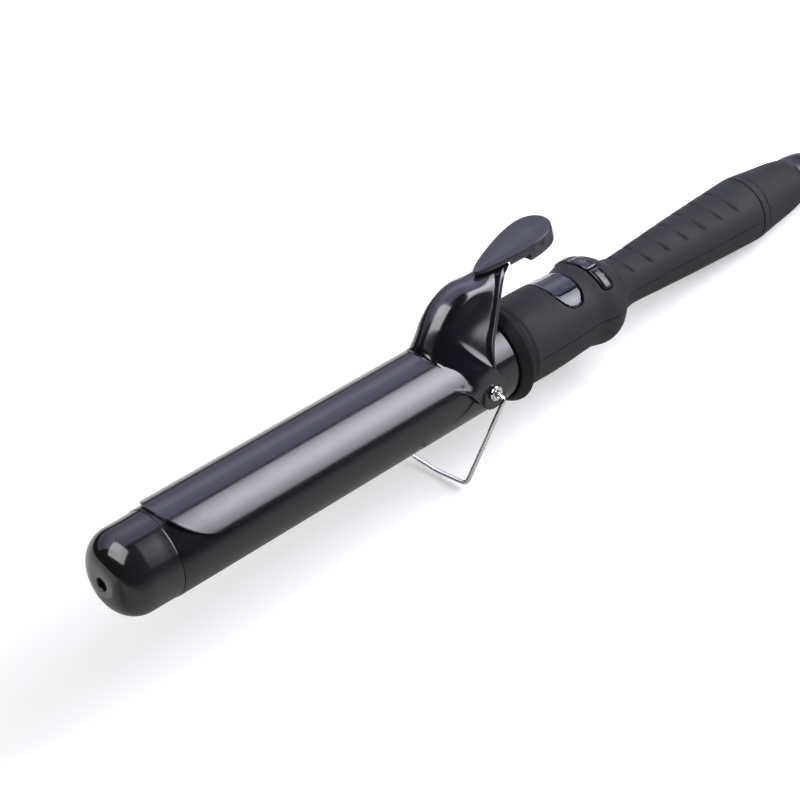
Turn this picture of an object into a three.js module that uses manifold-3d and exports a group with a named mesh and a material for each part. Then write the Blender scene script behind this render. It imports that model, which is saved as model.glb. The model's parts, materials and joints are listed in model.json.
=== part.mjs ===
// Clip curling iron: a heated barrel with a sprung clip, a fold-out wire stand and a grip handle
// that carries a display, three buttons and a swivelling cord outlet.
//
// Millimetres. The tool is drawn lying along X: the tip's end face is x = 0, the cord outlet is at
// the far +X end, Z points out through the display and Y across. At the end of the file the whole
// tool is tilted to stand on its wire stand and its handle, with the origin under its middle.

import * as THREE from 'three';
import { mergeVertices } from 'three/addons/utils/BufferGeometryUtils.js';
import Module from 'manifold-3d';

const wasm = await Module();
wasm.setup();

// ---------------------------------------------------------------- driving dimensions

const GAP = 0.3;                    // clearance between pieces that touch
const FACETS = 40;                  // sides of a large round piece
const FAR = 60;                     // longer than anything a cutter has to pass through

const BARREL_R = 16;                // 32 mm barrel
const BARREL_WALL = 0.95;
const BARREL_START = 21.6;          // seam between tip cap and barrel
const BARREL_END = 185;
const BORE_R = BARREL_R - BARREL_WALL - GAP;

const TIP_HOLE_R = 2.35;
const TIP_ROUND = 10.5;             // length of the rounded nose
const TIP_R = 15.7;
const TIP_BACK = 26;                // rear end of the spigot that plugs into the barrel
const TIP_WALL = 2.4;
const TIP_BOSS = [4.5, 15];         // boss around the tip screw: front and rear
const TIP_BOSS_R = 4.2;
const TIP_SCREW_SEAT = 12;          // the screw's head rests here, down the central hole
const TIP_SCREW_HEAD = [1.95, 2];   // radius and height
const TIP_ANCHOR = [28, 31];        // disc inside the barrel that the tip screw pulls on

const PIVOT_X = 161;                // clip and stand turn about this line across the barrel
const EAR_Y = 17.9;                 // outside of the clip's ears
const EAR_R = 6.6;
const RIVET_R = 1.85;
const RIVET_HEAD_R = 2.85;
const RIVET_FACE_Y = 19.6;
const RIVET_BORE_R = 1.3;
const RIVET_END_Y = 11;             // inner end of the rivet, through the saddle
const WIRE_END_Y = 14.6;            // inner end of the stand's wire, in the rivet's bore
const SADDLE_HALF = 5;
const SADDLE_BORE_R = 10.2;

const HEATER = [60, 123];           // flat ceramic heater: front and rear
const HEATER_HALF_WIDTH = 9;
const HEATER_HALF_THICK = 2;
const SENSOR_R = 1.5;
const SENSOR_LENGTH = 9.6;
const SPREADER = [55, 128];
const SPREADER_WEB_Y = 13.2;
const SPREADER_WEB_Z = 4.8;
const SLEEVE = [143.5, 154];
const SLEEVE_WALL = 1.6;

const SHEET = 1;                    // clip sheet thickness
const JAW_R = BARREL_R + GAP + SHEET;
const JAW_HALF_ANGLE = rad(68);
const JAW_FRONT = 22.5;
const TONGUE_DEPTH = 20;            // how far back the rounded front of the jaw starts
const CREASE_X = 142;               // where the jaw turns up into the lever
const CREASE_SWEEP = 3;             // how far the crease runs back at the sides
const CLIP_COLUMNS = 18;

const PAD_CENTRE = [190.2, 41.4];   // x and z of the middle of the thumb pad's top
const PAD_PITCH = rad(10.1);        // the pad's rear end sits higher than its front
const PAD_HALF_LENGTH = 18.5;
const PAD_HALF_WIDTH = 7.75;
const PAD_PLATE = 3.3;              // thickness of the pad's rim
const PAD_DEPTH = 6.1;              // depth of the pad behind its step
const PAD_STEP = 1.8;               // where the step is, from the pad's middle
const PAD_WALL = 1.8;
const TONGUE_ROOF = 1.7;            // depth below the pad's top of the channel for the lever's tongue
const TONGUE_HALF = 5.7;
const TONGUE_END = -3.5;            // rear end of the channel, from the pad's middle
const PAD_RIVET_STATIONS = [-14, -8.5];
const PAD_RIVET_R = 1.2;
const PAD_RIVET_HEAD = 1.3;
const PAD_HOLE_TOP = -0.8;          // blind end of the rivet holes, from the pad's top

const WIRE_R = 0.85;
const STAND_LEG_Y = 23.2;
const STAND_FOOT = [-13.5, 14.4, -34];     // crossbar corner, from the pivot
const STAND_BEND = 2.6;
const STAND_BOW = 1.2;              // how far the crossbar's middle hangs below its corners

const COLLAR_START = 176.2;
const COLLAR_END = 185.2;
const COLLAR_R = 19.15;
const HEAD_START = 185.5;
const SHELL_END = 317.7;
const SHELL_WALL = 2.6;
const SPLIT = GAP / 2;              // the two handle shells meet at z = 0
const SPIGOT_START = 176;
const SPIGOT_R = BORE_R - GAP / 2;

const WINDOW_X = 211;
const WINDOW_LENGTH = 13;
const WINDOW_WIDTH = 24.4;
const WINDOW_POWER = 3;             // superellipse exponent of the window outline
const LENS_THICK = 1.5;

const BUTTON_X = 227.2;
const BUTTON_LENGTH = 5.4;
const BUTTON_R = 17.9;
const BUTTON_HALF = rad(16.4);      // centre button
const BUTTON_SIDE = [rad(17.75), rad(51)];
const SLOT_HALF = rad(52.3);
const SIDE_ANGLE = (BUTTON_SIDE[0] + BUTTON_SIDE[1]) / 2;
const BUTTON_TRAVEL = 0.5;
const BUTTON_BACK_R = 14.7;
const STEM_HALF = 1.2;
const SWITCH_TOP_R = 11.2;
const SWITCH_BACK = 8.6;

const BOARD_TOP = 2.6;
const BOARD_THICK = 1.6;
const BOARD_START = 198;
const BOARD_END = 232;
const BOARD_HALF = 11;
const LCD_HALF_LENGTH = 5;
const LCD_HALF_WIDTH = 9.25;
const LCD_SEAT = 8.1;
const WIRE_LEAD_R = 0.9;

const SCREW_STATIONS = [192, 262, 306];
const SCREW_R = 1.15;
const SCREW_HEAD_R = 2.4;
const SCREW_HEAD = 2;
const SCREW_SEAT = -5.3;            // underside of the heads, from the split plane
const SCREW_TOP = 5;
const POST_GAP = 0.4;

const TAIL_START = 321.6;
const TAIL_END = 347.7;
const TOOL_END = 366;
const CORD_R = 3.3;                 // socket that the mains lead plugs into
const CORD_DEPTH = 7.5;
const CORE_R = 1.8;                 // passage for the lead's cores
const STEM_R = 4.6;
const STEM_GROOVE = [330.6, 332.2]; // groove in the stem for its retaining clip
const STEM_GROOVE_R = 3.7;
const SWIVEL_CLIP_R = 6.4;
const SWIVEL_CLIP_MOUTH = 2.2;
const TAIL_SLEEVE_START = 314;      // sleeve that plugs into the handle shells
const TAIL_SLEEVE_R = 9.4;
const TAIL_BORE_R = 7.8;
const TAIL_STEP = 336;
const CONTACT_PLATE = [323.9, 327.5];
const CAP_START = 348.1;

// The tool stands on the wire's crossbar and on the widest part of the handle.
const STAND_LOW = STAND_FOOT[2] - STAND_BOW - WIRE_R;
const GRIP_R = 13.65;
const GRIP_X = 320;
const REST_TILT = Math.atan2(-STAND_LOW - GRIP_R, GRIP_X - (PIVOT_X + STAND_FOOT[0]));

// ---------------------------------------------------------------- solids

function rad(degrees) {
  return THREE.MathUtils.degToRad(degrees);
}

function signedVolume(position, index) {
  const a = new THREE.Vector3();
  const b = new THREE.Vector3();
  const c = new THREE.Vector3();
  let volume = 0;
  for (let i = 0; i < index.length; i += 3) {
    a.fromBufferAttribute(position, index[i]);
    b.fromBufferAttribute(position, index[i + 1]);
    c.fromBufferAttribute(position, index[i + 2]);
    volume += a.dot(b.cross(c)) / 6;
  }
  return volume;
}

// A closed three.js geometry as a manifold solid with its faces pointing out.
function solid(geometry) {
  const bare = geometry.clone();
  bare.deleteAttribute('normal');
  bare.deleteAttribute('uv');
  const merged = mergeVertices(bare, 1e-4);
  const position = merged.getAttribute('position');
  const all = merged.index.array;
  const triangles = [];
  for (let i = 0; i < all.length; i += 3) {
    const [a, b, c] = [all[i], all[i + 1], all[i + 2]];
    if (a !== b && b !== c && c !== a) {
      triangles.push(a, b, c);
    }
  }
  if (signedVolume(position, triangles) < 0) {
    triangles.reverse();
  }
  const mesh = new wasm.Mesh({
    numProp: 3,
    vertProperties: new Float32Array(position.array),
    triVerts: new Uint32Array(triangles),
  });
  return new wasm.Manifold(mesh);
}

function geometryOf(shape) {
  const mesh = shape.getMesh();
  const geometry = new THREE.BufferGeometry();
  geometry.setAttribute('position', new THREE.BufferAttribute(mesh.vertProperties, 3));
  geometry.setIndex(new THREE.BufferAttribute(mesh.triVerts, 1));
  geometry.computeVertexNormals();
  return geometry;
}

function finish(color, roughness, metalness = 0) {
  return new THREE.MeshStandardMaterial({ color, roughness, metalness });
}

function piece(name, shape, material) {
  const mesh = new THREE.Mesh(geometryOf(shape), material);
  mesh.name = name;
  return mesh;
}

// A round solid about the X axis. The profile is a closed loop of [x, radius] points.
function turned(profile, facets = FACETS) {
  const loop = profile.map(([x, r]) => new THREE.Vector2(r, x));
  loop.push(loop[0].clone());
  return solid(new THREE.LatheGeometry(loop, facets).rotateZ(-Math.PI / 2));
}

function ring(start, end, outer, inner, facets = FACETS) {
  return turned([[start, inner], [start, outer], [end, outer], [end, inner]], facets);
}

function block(low, high) {
  const size = high.map((value, i) => value - low[i]);
  const middle = high.map((value, i) => (value + low[i]) / 2);
  return solid(new THREE.BoxGeometry(...size).translate(...middle));
}

function rod(from, to, radius, facets = 20) {
  const start = new THREE.Vector3(...from);
  const span = new THREE.Vector3(...to).sub(start);
  const turn = new THREE.Quaternion();
  turn.setFromUnitVectors(new THREE.Vector3(0, 1, 0), span.clone().normalize());
  const geometry = new THREE.CylinderGeometry(radius, radius, span.length(), facets);
  geometry.applyQuaternion(turn);
  const middle = start.addScaledVector(span, 0.5);
  return solid(geometry.translate(middle.x, middle.y, middle.z));
}

// An outline in the XY plane pushed up along Z.
function prism(shape, bottom, top, curveSegments = 12) {
  const options = { depth: top - bottom, bevelEnabled: false, curveSegments };
  return solid(new THREE.ExtrudeGeometry(shape, options).translate(0, 0, bottom));
}

// An outline in the YZ plane pushed along X.
function slab(shape, start, end, curveSegments = 12) {
  const options = { depth: end - start, bevelEnabled: false, curveSegments };
  const geometry = new THREE.ExtrudeGeometry(shape, options);
  const axes = new THREE.Matrix4().makeBasis(
    new THREE.Vector3(0, 1, 0),
    new THREE.Vector3(0, 0, 1),
    new THREE.Vector3(1, 0, 0),
  );
  return solid(geometry.applyMatrix4(axes).translate(start, 0, 0));
}

// The wedge between two angles about the X axis, counted from +Z towards +Y.
function wedge(from, to, start, end) {
  const shape = new THREE.Shape();
  shape.absarc(0, 0, FAR, Math.PI / 2 - to, Math.PI / 2 - from, false);
  shape.lineTo(0, 0);
  return slab(shape, start, end, 6);
}

// Tilt a solid from +Z to the given angle about the X axis, counted towards +Y.
function aroundX(shape, angle) {
  return shape.rotate([-THREE.MathUtils.radToDeg(angle), 0, 0]);
}

// ---------------------------------------------------------------- heated end

function barrelTube() {
  const tube = ring(BARREL_START, BARREL_END, BARREL_R, BARREL_R - BARREL_WALL);
  return tube.subtract(rod([PIVOT_X, -FAR, 0], [PIVOT_X, FAR, 0], RIVET_R + GAP));
}

// Round nose with a screw pocket down its middle and a spigot that plugs into the barrel.
function tipCap() {
  const outside = [];
  const steps = 6;
  const flat = TIP_R - TIP_ROUND;
  for (let i = 0; i <= steps; i++) {
    const turn = (i / steps) * (Math.PI / 2);
    outside.push([TIP_ROUND * (1 - Math.cos(turn)), flat + TIP_ROUND * Math.sin(turn)]);
  }
  const [bossStart, bossEnd] = TIP_BOSS;
  return turned([
    [0, TIP_HOLE_R],
    ...outside,
    [BARREL_START - GAP, TIP_R],
    [BARREL_START - GAP, BORE_R],
    [TIP_BACK, BORE_R],
    [TIP_BACK, BORE_R - TIP_WALL],
    [bossStart + 3.5, BORE_R - TIP_WALL],
    [bossStart, 2 * TIP_BOSS_R],
    [bossStart, TIP_BOSS_R],
    [bossEnd, TIP_BOSS_R],
    [bossEnd, SCREW_R + GAP],
    [TIP_SCREW_SEAT, SCREW_R + GAP],
    [TIP_SCREW_SEAT, TIP_HOLE_R],
  ]);
}

function tipScrew() {
  const [headR, height] = TIP_SCREW_HEAD;
  const seat = TIP_SCREW_SEAT - GAP;
  const end = TIP_ANCHOR[1] + 2;
  return turned([
    [seat - height, 0],
    [seat - height, headR],
    [seat, headR],
    [seat, SCREW_R],
    [end, SCREW_R],
    [end, 0],
  ], 20);
}

function tipAnchor() {
  return ring(...TIP_ANCHOR, BORE_R, SCREW_R + GAP, 32);
}

// Aluminium half round that carries heat from the flat heater to the barrel.
function heatSpreader(side) {
  const [start, end] = SPREADER;
  const web = block([start, -SPREADER_WEB_Y, -SPREADER_WEB_Z], [end, SPREADER_WEB_Y, SPREADER_WEB_Z]);
  const half = ring(start, end, BORE_R, BORE_R - SLEEVE_WALL).add(web);
  const near = HEATER_HALF_THICK + GAP;
  const keep = side > 0 ? [near, FAR] : [-FAR, -near];
  return half.intersect(block([start - 1, -FAR, keep[0]], [end + 1, FAR, keep[1]]));
}

function heaterCore() {
  const [start, end] = HEATER;
  const [across, up] = [HEATER_HALF_WIDTH, HEATER_HALF_THICK];
  return block([start, -across, -up], [end, across, up]);
}

function temperatureSensor() {
  const start = HEATER[1] + GAP;
  return rod([start, 0, 0], [start + SENSOR_LENGTH, 0, 0], SENSOR_R, 12);
}

function insulationSleeve() {
  return ring(...SLEEVE, BORE_R, BORE_R - SLEEVE_WALL, 32);
}

function pivotSaddle() {
  const body = ring(PIVOT_X - SADDLE_HALF, PIVOT_X + SADDLE_HALF, BORE_R, SADDLE_BORE_R);
  return body.subtract(rod([PIVOT_X, -FAR, 0], [PIVOT_X, FAR, 0], RIVET_R + GAP));
}

// Hollow rivet: the clip's ear turns on its shank and the stand's wire end sits in its bore.
function pivotRivet(side) {
  const at = (y) => [PIVOT_X, side * y, 0];
  const shank = rod(at(RIVET_END_Y), at(RIVET_FACE_Y - 1), RIVET_R);
  const head = rod(at(EAR_Y + GAP), at(RIVET_FACE_Y), RIVET_HEAD_R);
  return shank.add(head).subtract(rod(at(WIRE_END_Y - 1), at(FAR), RIVET_BORE_R, 12));
}

function collarRing() {
  return turned([
    [COLLAR_START, BARREL_R + GAP],
    [COLLAR_START, 16.9],
    [COLLAR_START + 0.8, 17.5],
    [COLLAR_START + 3.3, 18.9],
    [COLLAR_START + 4.1, COLLAR_R],
    [COLLAR_START + 4.9, 18.6],
    [COLLAR_START + 5.8, 17],
    [COLLAR_START + 7.2, 16.6],
    [COLLAR_END, 16.5],
    [COLLAR_END, BARREL_R + GAP],
  ]);
}

// ---------------------------------------------------------------- clip

// The ridge of the lever, seen from the side, from the jaw up to under the thumb pad.
const LEVER_RIDGE = new THREE.SplineCurve([
  [-19, JAW_R], [-17.2, 21], [-12, 28.3], [-6.2, 33.4], [1.5, 36.2], [10, 35.75], [17, 37], [23.5, 38.2],
].map(([x, z]) => new THREE.Vector2(x, z)));

// Half width of the rounded crown along the ridge, as [share of the way up the lever, width].
const LEVER_CROWN = [[0, 15.5], [0.08, 11], [0.16, 7.6], [0.3, 5.8], [0.5, 5.2], [0.75, 4.7], [1, 4]];
// The crown sags to its sides, and takes up no more than this part of the edge's half width.
const CROWN_SAG = 0.26;
const CROWN_LIMIT = 0.8;
// The wall below the crown leans out to a knee between these heights, then falls upright to the ear.
const KNEE_HEIGHT = [7, 11.5];
const KNEE_MARGIN = 0.5;
const SHOULDER_HEIGHT = 4;
const WALL_FLARE = 0.8;
// Where along the lever, from crease to pad, each change of its section starts and ends.
const SAG_EASE = [0.06, 0.2];
const KNEE_RISE_EASE = [0.25, 0.5];
const KNEE_SPREAD_EASE = [0.3, 0.65];
const FLARE_EASE = [0.45, 0.75];
const CROWN_STEPS = 20;
const WALL_STEPS = 10;
// The ridge moves little near the crease, where the arches fan out, and catches up at the pad.
const RIDGE_START = 0.12;
const RIDGE_POWER = 4;

// The lower edge of the lever as [x, y, z] from the pivot: down to the ear, round it and up again.
function leverEdge() {
  const edge = [[-16, 16.25, 6.5], [-13, 16.85, 5.4], [-10.4, 17.4, 3.2], [-8.4, 17.7, 0.4]];
  const steps = 7;
  for (let i = 0; i <= steps; i++) {
    const turn = rad(216 + (i / steps) * 164);
    edge.push([EAR_R * Math.cos(turn), EAR_Y, EAR_R * Math.sin(turn)]);
  }
  edge.push([4.6, EAR_Y, 4.4], [2.2, 17.8, 8.2], [2.8, 16.4, 12], [5, 14.4, 16.2]);
  edge.push([8.6, 12.3, 20.4], [12.4, 10.2, 25], [16.4, 7.9, 30.4], [20, 6.1, 35]);
  edge.push([23.2, 5, 37.6]);
  return edge.map(([x, y, z]) => new THREE.Vector3(PIVOT_X + x, y, z));
}

// Rows of the jaw: the rounded front, then straight back to the crease.
function jawRows(columns) {
  const rows = [];
  const steps = 5;
  for (let i = 0; i <= steps + 1; i++) {
    rows.push(columns.map((u) => {
      const angle = u * JAW_HALF_ANGLE;
      const front = JAW_FRONT + TONGUE_DEPTH * (1 - Math.sqrt(1 - Math.min(1, u * u)));
      const straight = JAW_FRONT + 1.2 * TONGUE_DEPTH;
      const crease = CREASE_X + CREASE_SWEEP * Math.abs(u) ** 1.5;
      const x = i > steps ? crease : THREE.MathUtils.lerp(front, straight, i / steps);
      return new THREE.Vector3(x, JAW_R * Math.sin(angle), JAW_R * Math.cos(angle));
    }));
  }
  return rows;
}

function easeIn(share, [start, end]) {
  return THREE.MathUtils.smoothstep(share, start, end);
}

function leverCrown(share) {
  const after = LEVER_CROWN.findIndex(([at], i) => i > 0 && at >= share);
  const [to, width] = LEVER_CROWN[after];
  const [from, before] = LEVER_CROWN[after - 1];
  return THREE.MathUtils.mapLinear(share, from, to, before, width);
}

// Half of one arch as [y, z]: a rounded crown, a wall leaning out, and an upright foot beside the ear.
function leverSection(share, ridge, foot) {
  const { lerp } = THREE.MathUtils;
  const kneeHeight = lerp(...KNEE_HEIGHT, easeIn(share, KNEE_RISE_EASE));
  const kneeZ = Math.min(Math.max(foot.z, kneeHeight), ridge - KNEE_MARGIN);
  const kneeY = kneeZ === foot.z ? foot.y : lerp(BARREL_R, foot.y, easeIn(share, KNEE_SPREAD_EASE));
  const crown = Math.min(leverCrown(share), CROWN_LIMIT * foot.y);
  const slope = crown / (2 * (kneeY - crown));
  const tangent = (ridge - kneeZ) * slope / (1 + slope);
  const sag = lerp(tangent, CROWN_SAG * crown, easeIn(share, SAG_EASE));
  const flare = WALL_FLARE * easeIn(share, FLARE_EASE);
  const section = [];
  for (let i = 0; i < CROWN_STEPS; i++) {
    const t = i / CROWN_STEPS;
    section.push([crown * t, ridge - sag * t * t]);
  }
  for (let i = 0; i <= WALL_STEPS; i++) {
    const t = i / WALL_STEPS;
    section.push([lerp(crown, kneeY, (1 - flare) * t + flare * t * t), lerp(ridge - sag, kneeZ, t)]);
  }
  const shoulder = Math.min(SHOULDER_HEIGHT, kneeZ - 1);
  if (foot.z < shoulder) {
    section.push([foot.y, shoulder]);
  }
  if (foot.z < kneeZ) {
    section.push([foot.y, foot.z]);
  }
  return section.map(([y, z]) => new THREE.Vector2(y, z));
}

// Rows of the lever: each is an arch from the ridge down to the lower edge on both sides.
function leverRows(columns) {
  const edge = leverEdge();
  return edge.slice(1).map((foot, i) => {
    const share = (i + 1) / (edge.length - 1);
    const top = LEVER_RIDGE.getPointAt(THREE.MathUtils.lerp(share ** RIDGE_POWER, share, RIDGE_START));
    const section = new THREE.Path(leverSection(share, top.y, foot));
    return columns.map((u) => {
      const point = section.getPointAt(Math.abs(u));
      const drop = Math.min(1, (top.y - point.y) / (top.y - foot.z));
      const x = THREE.MathUtils.lerp(PIVOT_X + top.x, foot.x, drop);
      const clear = Math.max(1, JAW_R / Math.hypot(point.x, point.y));
      return new THREE.Vector3(x, Math.sign(u) * point.x * clear, point.y * clear);
    });
  });
}

function surfaceNormal(rows, i, j) {
  const along = rows[Math.min(i + 1, rows.length - 1)][j].clone();
  along.sub(rows[Math.max(i - 1, 0)][j]);
  const across = rows[i][Math.min(j + 1, rows[i].length - 1)].clone();
  across.sub(rows[i][Math.max(j - 1, 0)]);
  return along.cross(across).normalize();
}

// A sheet of even thickness whose outer face runs through the rows of points.
function sheetSolid(rows, thickness) {
  const inner = rows.map((row, i) => row.map((point, j) => (
    point.clone().addScaledVector(surfaceNormal(rows, i, j), -thickness)
  )));
  const wide = rows[0].length;
  const vertices = [...rows.flat(), ...inner.flat()];
  const at = (layer, i, j) => layer * rows.length * wide + i * wide + j;
  const index = [];
  const quad = (a, b, c, d) => index.push(a, b, c, a, c, d);
  for (let i = 0; i + 1 < rows.length; i++) {
    for (let j = 0; j + 1 < wide; j++) {
      quad(at(0, i, j), at(0, i + 1, j), at(0, i + 1, j + 1), at(0, i, j + 1));
      quad(at(1, i, j), at(1, i, j + 1), at(1, i + 1, j + 1), at(1, i + 1, j));
    }
    quad(at(0, i, 0), at(1, i, 0), at(1, i + 1, 0), at(0, i + 1, 0));
    quad(at(0, i, wide - 1), at(0, i + 1, wide - 1), at(1, i + 1, wide - 1), at(1, i, wide - 1));
  }
  const last = rows.length - 1;
  for (let j = 0; j + 1 < wide; j++) {
    quad(at(0, 0, j), at(0, 0, j + 1), at(1, 0, j + 1), at(1, 0, j));
    quad(at(0, last, j), at(1, last, j), at(1, last, j + 1), at(0, last, j + 1));
  }
  const geometry = new THREE.BufferGeometry().setFromPoints(vertices);
  geometry.setIndex(index);
  return solid(geometry);
}

// Carry a solid drawn about the middle of the pad's top, with Z up, to where the pad is.
function onPad(shape) {
  const tilted = shape.rotate([0, -THREE.MathUtils.radToDeg(PAD_PITCH), 0]);
  return tilted.translate([PAD_CENTRE[0], 0, PAD_CENTRE[1]]);
}

function padHoles(bottom, top) {
  return PAD_RIVET_STATIONS.map((x) => (
    onPad(rod([x, 0, bottom], [x, 0, top], PAD_RIVET_R + GAP, 12))
  ));
}

function clip() {
  const columns = Array.from({ length: CLIP_COLUMNS + 1 }, (_, j) => 2 * j / CLIP_COLUMNS - 1);
  const sheet = sheetSolid([...jawRows(columns), ...leverRows(columns)], SHEET);
  const pivot = rod([PIVOT_X, -FAR, 0], [PIVOT_X, FAR, 0], RIVET_R + GAP);
  return padHoles(-2 * PAD_DEPTH, 0).reduce((shape, hole) => shape.subtract(hole), sheet.subtract(pivot));
}

// Egg-shaped outline, blunt and narrow at the front and widest two thirds of the way back.
function padOutline(inset = 0) {
  const shape = new THREE.Shape();
  const steps = 32;
  for (let i = 0; i < steps; i++) {
    const turn = (i / steps) * 2 * Math.PI;
    const swell = 1 + 0.47 * Math.cos(turn) + 0.067 * Math.cos(2 * turn);
    const x = (PAD_HALF_LENGTH - inset) * Math.cos(turn);
    const y = (PAD_HALF_WIDTH - inset) * Math.sin(turn) * swell;
    if (i === 0) {
      shape.moveTo(x, y);
    } else {
      shape.lineTo(x, y);
    }
  }
  return shape;
}

function thumbPad() {
  const plate = prism(padOutline(), -PAD_PLATE, 0);
  const rear = block([PAD_STEP, -FAR, -FAR], [FAR, FAR, 0]);
  const skirt = prism(padOutline(), -PAD_DEPTH, -PAD_PLATE + 1).intersect(rear);
  const pocketRear = block([PAD_STEP + PAD_WALL, -FAR, -FAR], [FAR, FAR, 0]);
  const pocket = prism(padOutline(PAD_WALL), -FAR, -PAD_PLATE + 1).intersect(pocketRear);
  const channel = block([-FAR, -TONGUE_HALF, -FAR], [TONGUE_END, TONGUE_HALF, -TONGUE_ROOF]);
  const body = onPad(plate.add(skirt).subtract(pocket).subtract(channel));
  return padHoles(-FAR, PAD_HOLE_TOP).reduce((shape, hole) => shape.subtract(hole), body);
}

function padRivet(x) {
  const top = -TONGUE_ROOF - SHEET - 4 * GAP;
  const head = rod([x, 0, top - PAD_RIVET_HEAD], [x, 0, top], 2 * PAD_RIVET_R - 0.1, 16);
  return onPad(head.add(rod([x, 0, top - 0.5], [x, 0, PAD_HOLE_TOP - GAP], PAD_RIVET_R, 16)));
}

// The spring's middle line as [x from the pivot, height over the barrel].
const SPRING_LINE = [[9, 0.8], [-6, 0.8], [-9.6, 1.9], [-10.4, 4.3], [-8.2, 6.7], [8, 15.9], [10.5, 16.1]];
const SPRING_HALF_WIDTH = 3.6;
const SPRING_HALF_THICK = 0.4;

// V-shaped leaf spring: one leg lies on the barrel, the other pushes up under the lever.
function clipSpring() {
  const line = SPRING_LINE.map(([x, z]) => new THREE.Vector3(PIVOT_X + x, 0, BARREL_R + z));
  const section = new THREE.Shape();
  section.moveTo(-SPRING_HALF_WIDTH, -SPRING_HALF_THICK);
  section.lineTo(SPRING_HALF_WIDTH, -SPRING_HALF_THICK);
  section.lineTo(SPRING_HALF_WIDTH, SPRING_HALF_THICK);
  section.lineTo(-SPRING_HALF_WIDTH, SPRING_HALF_THICK);
  const extrudePath = new THREE.CatmullRomCurve3(line);
  return solid(new THREE.ExtrudeGeometry(section, { steps: 26, extrudePath }));
}

// ---------------------------------------------------------------- wire stand

// Straight runs between the points, with each corner rounded off.
function roundedPath(points, round) {
  const path = new THREE.CurvePath();
  let from = points[0];
  for (let i = 1; i + 1 < points.length; i++) {
    const corner = points[i];
    const back = points[i - 1].clone().sub(corner).setLength(round);
    const on = points[i + 1].clone().sub(corner).setLength(round);
    const start = corner.clone().add(back);
    const end = corner.clone().add(on);
    path.add(new THREE.LineCurve3(from, start));
    path.add(new THREE.QuadraticBezierCurve3(start, corner, end));
    from = end;
  }
  path.add(new THREE.LineCurve3(from, points.at(-1)));
  return path;
}

function wireStand() {
  const [footX, footY, footZ] = STAND_FOOT;
  const near = [[0, -WIRE_END_Y, 0], [0, -STAND_LEG_Y, 0], [footX, -footY, footZ]];
  const middle = [footX, 0, footZ - STAND_BOW];
  const far = near.toReversed().map(([x, y, z]) => [x, -y, z]);
  const points = [...near, middle, ...far].map(([x, y, z]) => new THREE.Vector3(PIVOT_X + x, y, z));
  const section = new THREE.Shape();
  section.absarc(0, 0, WIRE_R, 0, 2 * Math.PI, false);
  const options = { steps: 64, curveSegments: 4, extrudePath: roundedPath(points, STAND_BEND) };
  return solid(new THREE.ExtrudeGeometry(section, options));
}

// ---------------------------------------------------------------- handle

// Outside of the handle as [x, radius]: head, button bulge, neck and grip.
const HANDLE_LINE = new THREE.SplineCurve([
  [HEAD_START, 16.4], [196, 16.6], [205.5, 16.4], [215, 15.95], [220, 15.85], [223.8, 16.7],
  [227.5, 17.4], [231.2, 16.8], [234.6, 15], [238.7, 11.8], [243.7, 10.4], [248.6, 10],
  [263.5, 10.9], [284, 12.1], [304.6, 13.05], [SHELL_END, 13.6],
].map(([x, r]) => new THREE.Vector2(x, r)));

function handleLine(offset, steps = 26) {
  return HANDLE_LINE.getPoints(steps).map(({ x, y }) => [x, y + offset]);
}

// Half of the handle's skin, with a spigot in front that plugs into the barrel.
function handleShell(side) {
  const inside = handleLine(-SHELL_WALL, 13).reverse();
  inside[inside.length - 1] = [HEAD_START + 2, SPIGOT_R - SHELL_WALL];
  const full = turned([
    [SPIGOT_START, SPIGOT_R - SHELL_WALL],
    [SPIGOT_START, SPIGOT_R],
    [HEAD_START, SPIGOT_R],
    ...handleLine(0),
    ...inside,
  ]);
  const keep = side > 0 ? [SPLIT, FAR] : [-FAR, -SPLIT];
  return full.intersect(block([SPIGOT_START - 1, -FAR, keep[0]], [SHELL_END + 1, FAR, keep[1]]));
}

// A post from the split plane out to the skin; side is 1 for the upper shell.
function screwPost(x, side, radius) {
  const skin = turned([
    [SPIGOT_START, 0],
    [SPIGOT_START, SPIGOT_R - 1],
    ...handleLine(-1, 18),
    [SHELL_END, 0],
  ], 24);
  return rod([x, 0, side * POST_GAP], [x, 0, side * FAR], radius, 16).intersect(skin);
}

// The upper shell's posts take the thread and the lower shell's seat the heads.
function upperPost(x) {
  return [screwPost(x, 1, 2.7), rod([x, 0, -1], [x, 0, SCREW_TOP + 0.4], SCREW_R + GAP, 12)];
}

function lowerPost(x) {
  const seat = SCREW_SEAT + GAP;
  const pocket = rod([x, 0, seat], [x, 0, -FAR], SCREW_HEAD_R + GAP, 16);
  return [screwPost(x, -1, 3.9), rod([x, 0, 1], [x, 0, -FAR], SCREW_R + GAP, 12).add(pocket)];
}

function shellScrew(x) {
  const head = rod([x, 0, SCREW_SEAT], [x, 0, SCREW_SEAT - SCREW_HEAD], SCREW_HEAD_R, 16);
  return head.add(rod([x, 0, SCREW_SEAT - 0.7], [x, 0, SCREW_TOP], SCREW_R, 12));
}

function windowOutline(grow) {
  const shape = new THREE.Shape();
  const steps = 36;
  const spread = (value, size) => Math.sign(value) * Math.abs(value) ** (2 / WINDOW_POWER) * size;
  for (let i = 0; i < steps; i++) {
    const turn = (i / steps) * 2 * Math.PI;
    const x = WINDOW_X + spread(Math.cos(turn), WINDOW_LENGTH / 2 + grow);
    const y = spread(Math.sin(turn), WINDOW_WIDTH / 2 + grow);
    if (i === 0) {
      shape.moveTo(x, y);
    } else {
      shape.lineTo(x, y);
    }
  }
  return shape;
}

function buttonSlot() {
  const half = BUTTON_LENGTH / 2 + GAP;
  const bore = ring(BUTTON_X - half, BUTTON_X + half, FAR, SWITCH_TOP_R + 0.8);
  return bore.intersect(wedge(-SLOT_HALF, SLOT_HALF, BUTTON_X - half - 1, BUTTON_X + half + 1));
}

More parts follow.
